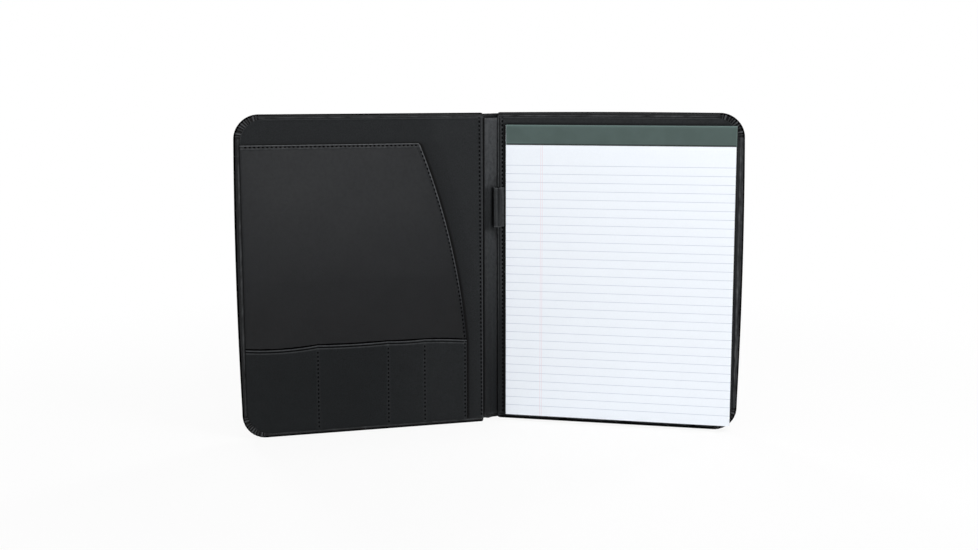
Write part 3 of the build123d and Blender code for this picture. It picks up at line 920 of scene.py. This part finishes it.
def document_pocket():
    top = POCKET_TOP - POCKET_HALF
    above_strip = np.arange(STRIP_TOP - 2.0, STRIP_TOP + 4.6, 0.35)
    heights = np.concatenate(
        [
            POCKET_CORNERS,
            np.arange(POCKET_CORNERS[-1] + 1.5, above_strip[0] - 1, POCKET_STEP),
            above_strip,
            np.arange(above_strip[-1] + 1.2, top - RIM_STEPS[-1] - 1, POCKET_STEP),
            [top - step for step in reversed(RIM_STEPS)],
        ]
    )
    near = mouth_edge(heights) + POCKET_HALF
    far = outer_edge(heights, HEM_WIDTH + POCKET_HALF)
    across = spread(near, far, RIM_STEPS, EDGE_STEPS, 150)
    tall = np.broadcast_to(heights[:, None], across.shape)
    middle = np.stack([across, tall, pocket_level(across, tall)], axis=-1)
    below_top, inside = POCKET_TOP - tall, across - mouth_edge(tall)
    # Painted highlight along the top and mouth rims, fading lower down as painted light from above, a painted
    # highlight on the line under the top fold, and painted light that makes the pocket paler high up and darker
    # low down.
    fade = 0.4 + 0.6 * smooth(STRIP_TOP, 220, tall)
    wear_and_painted_light = fade * np.maximum(smooth(1.0, 0.5, below_top), 0.65 * smooth(1.5, 1.1, inside))
    wear_and_painted_light = wear_and_painted_light + (0.28 + 0.12 * ripple(across, tall, 6.0, 23)) * groove(below_top - 3.3, 0.5)
    wear_and_painted_light = wear_and_painted_light + 0.07 * smooth(110, 240, tall) - 0.35 * smooth(150, 90, tall)
    # Black cells along the card strip's top edge are a painted shadow line; the black rim is painted shade.
    over_strip = cell_middles(tall - strip_top(across))
    black = (over_strip > -1.0) & (over_strip < 1.2)
    return thick_sheet(
        "document_pocket_sheet", FRONT, middle, POCKET_THICKNESS, POCKET, wear_and_painted_light, black=black, black_rim=True
    )


pocket = document_pocket()
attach(pocket, "front_cover")
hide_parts("document_pocket")


# Card pockets: a strip sewn to the document pocket at its ends, foot and three dividers
STRIP_FOLD = 1.1
STRIP_PUFF = 0.95
STRIP_DROPS = (7.0, 6.0, 5.0, 4.2, 3.6, 3.1, 2.7, 2.4, 2.15, 1.9, 1.6, 1.2, 0.8, 0.4, 0.0)


def strip_level(across, height):
    index, share = between_seams(across)
    tall = np.clip((height - LINING_FOOT) / (STRIP_TOP - LINING_FOOT), 0, 1)
    puff = (4 * share * (1 - share)) ** 0.75
    level = STRIP_MIDDLE + pocket_swell(across, height) + STRIP_PUFF * puff * (0.25 + 0.75 * tall)
    for seam in STRIP_SEAMS[:-1]:
        level = level - 0.22 * groove(across - seam, 0.6) + 0.07 * pucker(across - seam, height, 1.5)
    below_top = strip_top(across) - height
    level = level + folded_rim(below_top, STRIP_FOLD) - 0.12 * groove(below_top - STRIP_FOLD - 0.6, 0.5)
    return level - 0.25 * sewn_edges(across, height) + 0.08 * ripple(across, height, 30.0, 31) * puff


def card_strip():
    rises = np.arange(POCKET_CORNERS[-1] + 1.2, STRIP_TOP - 8, 1.6)
    fixed = np.concatenate([POCKET_CORNERS, rises])
    drops = np.array(STRIP_DROPS)
    near = np.full(len(fixed) + len(drops), POCKET_START + POCKET_HALF)
    far = outer_edge(np.append(fixed, np.full(len(drops), STRIP_TOP)), HEM_WIDTH + POCKET_HALF)
    across = spread(near, far, RIM_STEPS, EDGE_STEPS, 180)
    low = np.broadcast_to(fixed[:, None], across[: len(fixed)].shape)
    upper = strip_top(across[len(fixed) :]) - POCKET_HALF - drops[:, None]
    tall = np.concatenate([low, upper])
    middle = np.stack([across, tall, strip_level(across, tall)], axis=-1)
    below_top = strip_top(across) - tall
    # Painted highlight along the top fold and on the line below it, and slightly paler nearer the crease.
    wear_and_painted_light = 0.5 * smooth(1.0, 0.6, below_top) + 0.35 * groove(below_top - 3.1, 0.5)
    wear_and_painted_light = wear_and_painted_light + 0.05 * smooth(120, 40, across)
    # A painted highlight beside each divider seam.
    for seam in STRIP_SEAMS[:-1]:
        wear_and_painted_light = wear_and_painted_light + 0.10 * groove(across - seam, 1.3) * (below_top > 2)
    # Black cells under the top fold: painted shade in the groove.
    under_edge = cell_middles(below_top)
    black = (under_edge > 1.6) & (under_edge < 2.4)
    return thick_sheet("card_strip_sheet", FRONT, middle, POCKET_THICKNESS, STRIP, wear_and_painted_light, black=black)


strip = card_strip()
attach(strip, "front_cover")
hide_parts("card_pocket_strip")

top_line = np.arange(mouth_edge(POCKET_TOP - SEAM_INSET) + SEAM_INSET, LINING_EDGE - 1.0, 1.0)
slant_line = np.arange(POCKET_TOP - SEAM_INSET - 1.5, STRIP_TOP + 1.5, -1.0)
side_line = np.arange(STRIP_TOP - 1.0, LINING_FOOT + 1.0, -1.0)
SEAMS = {
    "pocket_top": (top_line, np.full_like(top_line, POCKET_TOP - SEAM_INSET), pocket_level, top_line),
    "pocket_mouth": (mouth_edge(slant_line) + SEAM_INSET, slant_line, pocket_level, slant_line),
}
for seam_name, across in zip(("strip_end", "divider_1", "divider_2", "divider_3"), STRIP_SEAMS):
    SEAMS[seam_name] = (np.full_like(side_line, across), side_line, strip_level, side_line)
for seam_name, (across, height, level, along) in SEAMS.items():
    path = np.stack([across, height, level(across, height) + POCKET_HALF], axis=1)
    thread = stitches(f"{seam_name}_stitches", FRONT, path, along)
    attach(thread, "front_cover")


# Pad pocket: a sheet over the foot of the back lining, drawn down to it along three sewn edges
SLEEVE_STEPS = (0.0, 0.25, 0.5, 0.72, 0.9, 1.3)
SLEEVE_DROPS = (1.75, 1.45, 0.8, 0.25, 0.05, 0.0)


def pad_pocket():
    rises = np.arange(POCKET_CORNERS[-1] + 4, PAD_POCKET_TOP - 1, 5.0)
    heights = np.concatenate([POCKET_CORNERS, rises, [PAD_POCKET_TOP - POCKET_HALF]])
    near = np.full_like(heights, PAD_POCKET_START + POCKET_HALF)
    far = outer_edge(heights, HEM_WIDTH + POCKET_HALF)
    across = spread(near, far, SLEEVE_STEPS, SLEEVE_STEPS, 30)
    tall = np.broadcast_to(heights[:, None], across.shape)
    edge = np.minimum(across - near[:, None], far[:, None] - across)
    edge = np.minimum(edge, tall - LINING_FOOT - POCKET_HALF)
    level = PAD_POCKET_MIDDLE - np.interp(edge, SLEEVE_STEPS, SLEEVE_DROPS)
    middle = np.stack([across, tall, level], axis=-1)
    return thick_sheet("pad_pocket_sheet", BACK, middle, POCKET_THICKNESS, LINING)


sleeve = pad_pocket()
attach(sleeve, "back_cover")
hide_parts("pad_pocket")


# Spine: leather and lining that cross both creases, each in two halves from the spine's middle
BEND_REACH = 1.5
END_REACH = 3.0
SPINE_HUMP = 2.0
LOOP_HUMP = 0.45
# How much paler the spine lining gets towards its head: painted sheen.
HEAD_SHEEN = 0.7
FOOT_SHIFT = {SPINE_TO_FRONT: 1.6, SPINE_TO_BACK: -0.8}


def folded(points, angle):
    """Turns what lies past a crease by the crease's angle, in a short bend."""
    across, height, level = np.moveaxis(points, -1, 0)
    turn = angle * smooth(-BEND_REACH, BEND_REACH, across)
    new_across = across * np.cos(turn) - level * np.sin(turn)
    new_level = across * np.sin(turn) + level * np.cos(turn)
    return np.stack([new_across, height, new_level], axis=-1)


def held_ends(foot, top, half, steps, middles):
    """Heights between a foot and a top, close together at both ends."""
    low = [foot + half + step for step in steps]
    high = [top - half - step for step in reversed(steps)]
    return np.concatenate([low, np.linspace(foot + END_REACH, top - END_REACH, middles), high])


def spine_half(name, leaf, cover, past, foot, top, level, thickness, material, wear_and_painted_light, black_rim):
    """Half of one layer, from the spine's middle to a little way past a crease."""
    fine = np.arange(-3.0, past, 0.3)
    columns = np.concatenate([np.linspace(-SPINE_WIDTH / 2, -3.3, 9), fine, [past]])
    heights = held_ends(foot, top, thickness / 2, (0.0, 0.3, 0.9), 150)
    across, tall = np.meshgrid(columns, heights)
    shift = FOOT_SHIFT[leaf] * smooth(-8, 0, across) * smooth(foot + 14, foot, tall)
    flat = np.stack([across, tall + shift, level(across, tall)], axis=-1)
    angle = atan2(np.dot(cover.across, leaf.inward), np.dot(cover.across, leaf.across))
    wear_and_light_share = wear_and_painted_light(leaf, across, tall)
    return thick_sheet(name, leaf, folded(flat, angle), thickness, material, wear_and_light_share, black_rim=black_rim)


def spine_skin_level(across, height):
    return np.full_like(across, -0.14) + 0.12 * groove(across, 1.3)


def spine_lining_level(across, height):
    """Humped between the creases, and flatter beside the pen loop."""
    beside_loop = smooth(LOOP_FOOT - 14, LOOP_FOOT - 3, height) * smooth(LOOP_TOP + 14, LOOP_TOP + 3, height)
    hump = (SPINE_HUMP - (SPINE_HUMP - LOOP_HUMP) * beside_loop) * smooth(-1.2, -4.2, across)
    crumple = ripple(across * 0.35, height, 13.0, 41) * groove(across + 2.2, 2.6)
    return 0.86 + hump + 0.12 * crumple


def spine_skin_wear(leaf, across, height):
    """The outer side: rubbed at its two ends."""
    return 0.15 * smooth(3.0, 1.0, np.minimum(height - SPINE_FOOT, SPINE_TOP - height))


def spine_lining_painted_light(leaf, across, height):
    """The inner side: paler towards its head as painted sheen, with a painted highlight at its ends, black in the
    front crease as painted shade, and painted shade and a black painted shadow beside the pen loop.
    """
    ends = np.minimum(height - SPINE_LINING_FOOT, SPINE_LINING_TOP - height)
    wear_and_painted_light = HEAD_SHEEN * (height / COVER_HEIGHT) ** 1.12 + 0.2 * smooth(1.8, 0.8, ends)
    shaded = smooth(LOOP_FOOT - 6, LOOP_FOOT, height) * smooth(LOOP_TOP + 3, LOOP_TOP - 1, height)
    wear_and_painted_light = wear_and_painted_light - 0.28 * shaded
    behind_loop = smooth(LOOP_FOOT, LOOP_FOOT + 1, height) * smooth(LOOP_TOP, LOOP_TOP - 1, height)
    # Front half: darker towards the crease and behind the loop as painted shade, and black in the crease.
    if leaf is SPINE_TO_FRONT:
        wear_and_painted_light = wear_and_painted_light - 0.12 * smooth(-9, -2, across) - 0.2 * behind_loop * smooth(-8.6, -10, across)
        return wear_and_painted_light * smooth(-0.2, -1.0, across) - smooth(-0.5, 0.1, across)
    # Back half: paler towards the crease high up as painted light, and a black painted shadow of the loop beside
    # it.
    wear_and_painted_light = wear_and_painted_light + 0.12 * smooth(-10, -1, across) * smooth(60, 190, height)
    slot = 0.45 * smooth(-11.4, -9.8, across) + 0.55 * smooth(-8.8, -7.8, across)
    return wear_and_painted_light - behind_loop * slot * smooth(-3.0, -4.0, across)


SPINE_SKIN_LAYER = {
    "past": 3.0,
    "foot": SPINE_FOOT,
    "top": SPINE_TOP,
    "level": spine_skin_level,
    "thickness": 1.5,
    "material": SKIN,
    "wear_and_painted_light": spine_skin_wear,
    "black_rim": True,
}
SPINE_LINING_LAYER = {
    "past": 2.0,
    "foot": SPINE_LINING_FOOT,
    "top": SPINE_LINING_TOP,
    "level": spine_lining_level,
    "thickness": 0.5,
    "material": SPINE_SHEEN,
    "wear_and_painted_light": spine_lining_painted_light,
    "black_rim": False,
}
for side, leaf, cover in (("front", SPINE_TO_FRONT, FRONT), ("back", SPINE_TO_BACK, BACK)):
    start = leaf.at(-BEND_REACH, COVER_HEIGHT / 2, 0.0)
    end = cover.at(BEND_REACH, COVER_HEIGHT / 2, 0.0)
    outside = spine_half(f"spine_skin_{side}", leaf, cover, **SPINE_SKIN_LAYER)
    inside = spine_half(f"spine_lining_{side}", leaf, cover, **SPINE_LINING_LAYER)
    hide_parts("spine_skin", f"{side}_crease")
    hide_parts("spine_lining")
    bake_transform(outside)
    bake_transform(inside)


# Pen loop: a strap sewn down beside the crease, round into a tube and back onto itself
LOOP_CENTRE = (2.98, 10.54)
LOOP_RADIUS = 3.35
LOOP_ARC = (220, -36)
LOOP_TIP = 0.9
STRAP_THICKNESS = 0.6
STRAP_START = [(8.1, 4.7), (6.6, 4.7), (5.0, 4.7), (3.5, 4.75), (2.9, 5.15)]
STRAP_END = [(3.7, 5.75), (4.1, 5.35), (5.2, 5.3), (6.6, 5.3), (8.1, 5.3)]
TAB_START = 4.9
TAB_LEVEL = 6.3
FOLD_LEVEL = 6.6
DENT_TURN = 58.0
DENT_DEPTH = 0.35
BLEND_ACROSS = 3.2
BLEND_LEVELS = (5.3, 6.3)
TAB_SEAM = (4.7, 5.55)


def rounded_path(points, rounds=3):
    """Cuts the corners of an open path, and keeps its ends."""
    points = np.asarray(points, float)
    for _ in range(rounds):
        before, after = points[:-1], points[1:]
        cut = np.stack([before * 0.75 + after * 0.25, before * 0.25 + after * 0.75], axis=1).reshape(-1, 2)
        points = np.concatenate([points[:1], cut, points[-1:]])
    return points


def pen_strap():
    turns = np.radians(np.linspace(*LOOP_ARC, 40))
    tube = [
        (LOOP_CENTRE[0] + LOOP_RADIUS * cos(t), LOOP_CENTRE[1] + LOOP_RADIUS * sin(t)) for t in turns
    ]
    path = rounded_path(STRAP_START + tube + STRAP_END)
    heights = held_ends(LOOP_FOOT, LOOP_TOP, STRAP_THICKNESS / 2, (0.0, 0.4, 1.0), 16)
    across, tall = np.meshgrid(path[:, 0], heights)
    level = np.broadcast_to(path[:, 1], across.shape)
    out = np.stack([across - LOOP_CENTRE[0], level - LOOP_CENTRE[1]], axis=-1)
    turn = np.degrees(np.arctan2(out[..., 1], out[..., 0]))
    on_tube = np.linalg.norm(out, axis=-1) < LOOP_RADIUS + 0.4
    upper = smooth(LOOP_FOOT + 6, LOOP_TOP - 8, tall)
    dent = on_tube * groove(turn - DENT_TURN, 20.0) * (0.45 + 0.55 * upper)
    raised = on_tube * groove(turn - 165.0, 30.0) * smooth(LOOP_TOP - 4, LOOP_TOP, tall)
    inwards = unit(out) * (DENT_DEPTH * dent)[..., None]
    middle = np.stack([across - inwards[..., 0], tall + LOOP_TIP * raised, level - inwards[..., 1]], axis=-1)
    ends = np.minimum(heights - LOOP_FOOT, LOOP_TOP - heights)
    on_tab = (path[:, 1] < TAB_LEVEL) & (path[:, 0] > TAB_START)
    in_fold = (path[:, 1] < FOLD_LEVEL) & (path[:, 0] <= TAB_START)
    # The tab is paler as painted light, the fold where the strap doubles back is dark as painted shade, and the
    # tube is a little paler as painted light.
    along = np.where(on_tab, 1.0, np.where(in_fold, -0.8, 0.34))
    # Painted highlight at the strap's two ends, on the tube's left side and on its raised tip, and painted shade
    # in the dent.
    wear_and_painted_light = along[None, :] + 0.4 * smooth(1.2, 0.5, ends)[:, None]
    wear_and_painted_light = wear_and_painted_light + 0.4 * on_tube * groove(turn - 160.0, 30.0) - 0.75 * dent + 0.4 * raised
    # The tube's inner side is near black: painted shade.
    inside = np.where(on_tube, -0.9, wear_and_painted_light)
    return thick_sheet("pen_loop_strap", BACK, middle, STRAP_THICKNESS, SPINE_SHEEN, wear_and_painted_light, inside)


strap = pen_strap()
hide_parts("pen_loop", "pen_loop_tab")
loop_middle = (LOOP_FOOT + LOOP_TOP) / 2
start, end = [BACK.at(BLEND_ACROSS, loop_middle, level) for level in BLEND_LEVELS]
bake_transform(strap)
tab_line = np.arange(LOOP_FOOT + 1.5, LOOP_TOP - 1.0, 1.0)
tab_path = [(TAB_SEAM[0], height, TAB_SEAM[1]) for height in tab_line]
tab_thread = stitches("pen_loop_stitches", BACK, tab_path, tab_line)
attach(tab_thread, "back_cover")


# Writing pad: a stack of sheets, a taped head, and a loose top sheet
SHEET_LEVELS = np.linspace(7.0, 10.3, 12)
HEAD_LEVELS = np.linspace(5.8, 7.0, 5)
HEAD_SHEETS_FOOT = 125.6
STACK_INSET = 0.15
STACK_LEAN = 1.1
QUIRE_GAP = 0.02
QUIRE_NICK = 0.5
STRIPE_STRETCH = 4
TAPE_START = PAD_START + 0.35
TAPE_END = PAD_EDGE + 0.2
TAPE_HEAD = PAD_TOP + 0.15
TAPE_FRONT = 10.45
TAPE_BACK = 4.85
TAPE_THICKNESS = 0.3
SHEET_LEVEL = 10.45
SHEET_TOP = 266.2
SHEET_THICKNESS = 0.16
LIFT = 0.55
LIFT_REACH = 70.0


def sheet_stack():
    """Quires of ruled paper that lean and sit a hair out of line, with striped sides."""
    draw = np.random.default_rng(51)
    places, faces, flats, ruled = [], [], [], []
    quires = [(low, high, PAD_FOOT) for low, high in zip(SHEET_LEVELS, SHEET_LEVELS[1:])]
    quires += [(low, high, HEAD_SHEETS_FOOT) for low, high in zip(HEAD_LEVELS, HEAD_LEVELS[1:])]
    for low, high, foot in quires:
        out, down = draw.uniform(-0.12, 0.12), draw.uniform(-0.05, 0.15)
        out = out - STACK_LEAN * (SHEET_LEVELS[-1] - high) / (SHEET_LEVELS[-1] - HEAD_LEVELS[0])
        left, right = PAD_START + STACK_INSET + out, PAD_EDGE - STACK_INSET + out
        bottom, top = foot + 0.2 + down, PAD_TOP - STACK_INSET
        outline = [(left + QUIRE_NICK, bottom), (right - QUIRE_NICK, bottom)]
        outline += [(right, bottom + QUIRE_NICK), (right, top), (left, top), (left, bottom + QUIRE_NICK)]
        levels = (low + QUIRE_GAP, high - QUIRE_GAP)
        for level in levels:
            faces.append(tuple(range(len(places), len(places) + len(outline))))
            places += [(across, height, level) for across, height in outline]
            flats += [(across - out, height - down) for across, height in outline]
        rings = []
        for level in levels:
            rings.append(range(len(places), len(places) + len(outline)))
            places += [(across, height, level) for across, height in outline]
            flats += [(across, level * STRIPE_STRETCH) for across, height in outline]
        faces += tube_faces(*rings)
        ruled += [True] * len(levels) + [False] * len(outline)
    piece = new_piece("pad_sheet_stack", BACK.place(places), faces, EDGES, flats, trim=(RULED, ruled))
    piece.data.polygons.foreach_set("use_smooth", [False] * len(piece.data.polygons))
    return piece


def binding_tape():
    """A tape from the header's foot over the head of the pad and down behind it."""
    front, back, head = TAPE_FRONT, TAPE_BACK, TAPE_HEAD
    path = [(HEADER_FOOT + step, front) for step in (0.15, 0.6, 1.1, 1.6, 2.2, 2.9)]
    path += [(height, front) for height in np.linspace(HEADER_FOOT + 4, head - 3, 6)]
    path += [(head - 1.2, front), (head - 0.45, front), (head - 0.1, front - 0.2), (head, front - 0.6)]
    path += [(head, 8.8), (head, 7.0), (head, back + 0.6), (head - 0.1, back + 0.2), (head - 0.45, back)]
    path += [(height, back) for height in np.linspace(head - 2, HEADER_FOOT + 0.15, 6)]
    heights, levels = np.array(path).T[:, :, None]
    across = spread(TAPE_START, TAPE_END, EDGE_STEPS, EDGE_STEPS, 60)[None, :]
    level = levels + 0.03 * ripple(across, heights, 24.0, 61)
    middle = np.stack(np.broadcast_arrays(across, heights, level), axis=-1)
    ends = np.minimum(across - TAPE_START, TAPE_END - across)
    wear_and_painted_light = 0.7 * smooth(0.7, 0.2, ends) + 0.9 * smooth(1.5, 0.5, head - heights)
    wear_and_painted_light = wear_and_painted_light + 0.35 * groove(heights - HEADER_FOOT - 2.2, 0.7) * smooth(60, 20, across)
    return thick_sheet("pad_head_tape", BACK, middle, TAPE_THICKNESS, TAPE, np.clip(wear_and_painted_light, 0, 1))


def top_sheet():
    """The first ruled sheet: flat under the head, and lifted a little towards its free lower corner."""
    heights = np.concatenate([[PAD_FOOT + 0.1, PAD_FOOT + 1], np.linspace(PAD_FOOT + 4, SHEET_TOP, 60)])
    columns = spread(PAD_START + 0.1, PAD_EDGE - 0.1, (0.0, 1.0), (0.0, 1.0), 50)
    across, tall = np.meshgrid(columns, heights)
    fall = np.clip((LIFT_REACH - (tall - PAD_FOOT)) / LIFT_REACH, 0, 1)
    side = (across - PAD_START) / (PAD_EDGE - PAD_START)
    lift = LIFT * fall ** 2 * (0.4 + 0.6 * side)
    level = SHEET_LEVEL + lift + 0.04 * (1 + ripple(across, tall, 90.0, 71)) * (1 - fall)
    middle = np.stack([across, tall, level], axis=-1)
    return thick_sheet("pad_top_sheet", BACK, middle, SHEET_THICKNESS, RULED)


stack = sheet_stack()
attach(stack, "pad")
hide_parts("pad_sheets")
tape = binding_tape()
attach(tape, "pad")
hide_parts("pad_binding")
loose = top_sheet()
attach(loose, "top_sheet")
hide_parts("top_sheet")


# Floor, light and camera: in metres, but the camera's eye and sensor in millimetres
FLOOR_REACH = 60.0
FLOOR_COLOUR = (0.95, 0.95, 0.95)
FLOOR_GLOW = 0.88
GLOW_RADII = (0.3, 0.9)
AMBIENT = 0.15

# Each distant lamp: azimuth to the right of the front and elevation in degrees, strength, width in degrees
SUNS = {
    "right_softbox": (20, 8, 0.75, 6.0),
    "left_softbox": (-21, 10, 0.44, 14.0),
    "overhead": (0, 80, 1.2, 60.0),
    "back_softbox_left": (-155, 24, 0.8, 14.0),
    "back_softbox_right": (140, 30, 0.6, 14.0),
}
UPPER_PLACE = Vector((0.43, -0.43, 0.77))
UPPER_AIM = Vector((-0.03, 0.03, 0.22))
UPPER_SIZE = (0.36, 0.24)
UPPER_STRENGTH = 2.0

FOCAL_PIXELS = 1312.93
PHOTO_WIDTH = 978
SENSOR = 36.0
CLIP_END = 200.0
EYE = (-5.90, -1215.50, 325.86)
YAW, PITCH, ROLL = radians(0.142), radians(8.387), radians(-0.077)


def background_rays(nodes):
    """1 for rays that show the background: seen, mirrored or through something clear."""
    rays = nodes.add("LightPath").outputs
    both = nodes.math("ADD", rays["Is Camera Ray"], rays["Is Glossy Ray"])
    return nodes.math("ADD", both, rays["Is Transmission Ray"], clamp=True)


def pale_floor():
    """A wide white floor that keeps the object's shadow and is whiter away from it."""
    corners = [(-1, -1, 0), (1, -1, 0), (1, 1, 0), (-1, 1, 0)]
    mesh = bpy.data.meshes.new("floor")
    mesh.from_pydata([Vector(corner) * FLOOR_REACH for corner in corners], [], [(0, 1, 2, 3)])
    ground = bpy.data.objects.new("floor", mesh)
    bpy.context.scene.collection.objects.link(ground)
    nodes = Surface("pale_floor", 0.9, 0.0)
    nodes.principled.inputs["Base Color"].default_value = opaque(FLOOR_COLOUR)
    glow = nodes.add("Emission", {"Color": WHITE, "Strength": 1.0}).outputs["Emission"]
    place = nodes.add("NewGeometry").outputs["Position"]
    apart = nodes.add("VectorMath", {0: place}, operation="LENGTH").outputs["Value"]
    whiter = nodes.span(apart, *GLOW_RADII, FLOOR_GLOW, 1.0, "SMOOTHSTEP")
    share = nodes.math("MULTIPLY", background_rays(nodes), whiter)
    mixed = nodes.add("MixShader", {"Fac": share, 1: nodes.principled.outputs["BSDF"], 2: glow})
    nodes.send(mixed.outputs["Shader"], "Material Output")
    mesh.materials.append(nodes.material)
    return ground


def white_studio():
    """A dim white world that looks fully white behind the object."""
    world = bpy.data.worlds.new("studio")
    bpy.context.scene.world = world
    world.use_nodes = True
    nodes = Nodes(world.node_tree)
    ambient = nodes.tree.nodes["Background"]
    ambient.inputs["Color"].default_value = WHITE
    ambient.inputs["Strength"].default_value = AMBIENT
    seen = nodes.add("Background", {"Color": WHITE, "Strength": 1.0})
    both = {1: ambient.outputs["Background"], 2: seen.outputs["Background"]}
    mixed = nodes.add("MixShader", {"Fac": background_rays(nodes), **both})
    nodes.send(mixed.outputs["Shader"], "World Output")


def new_lamp(name, kind, strength, direction):
    """A lamp that shines along a direction."""
    lamp = bpy.data.objects.new(name, bpy.data.lights.new(name, kind))
    lamp.data.energy = strength
    lamp.rotation_euler = Vector(direction).to_track_quat("-Z", "Y").to_euler()
    bpy.context.scene.collection.objects.link(lamp)
    return lamp


def studio_lamps():
    for name, (azimuth, elevation, strength, width) in SUNS.items():
        turn, rise = radians(azimuth), radians(elevation)
        direction = (-sin(turn) * cos(rise), cos(turn) * cos(rise), -sin(rise))
        new_lamp(name, "SUN", strength, direction).data.angle = radians(width)
    upper = new_lamp("upper_softbox", "AREA", UPPER_STRENGTH, UPPER_AIM - UPPER_PLACE)
    upper.location = UPPER_PLACE
    upper.data.shape = "RECTANGLE"
    upper.data.size, upper.data.size_y = UPPER_SIZE


def photo_camera():
    """A camera fitted to the corners in the photograph."""
    camera = bpy.data.objects.new("camera", bpy.data.cameras.new("camera"))
    camera.data.sensor_fit = "HORIZONTAL"
    camera.data.sensor_width = SENSOR
    camera.data.lens = FOCAL_PIXELS * SENSOR / PHOTO_WIDTH
    camera.data.clip_end = CLIP_END
    ahead = Vector((sin(YAW) * cos(PITCH), cos(YAW) * cos(PITCH), -sin(PITCH)))
    level_right = Vector((cos(YAW), -sin(YAW), 0.0))
    level_up = level_right.cross(ahead)
    right = level_right * cos(ROLL) + level_up * sin(ROLL)
    above = level_up * cos(ROLL) - level_right * sin(ROLL)
    turned = Matrix((right, above, -ahead)).transposed().to_4x4()
    camera.matrix_world = Matrix.Translation(Vector(EYE) * MM) @ turned
    bpy.context.scene.collection.objects.link(camera)
    bpy.context.scene.camera = camera


pale_floor()
white_studio()
studio_lamps()
photo_camera()
bpy.context.scene.view_settings.view_transform = "Standard"
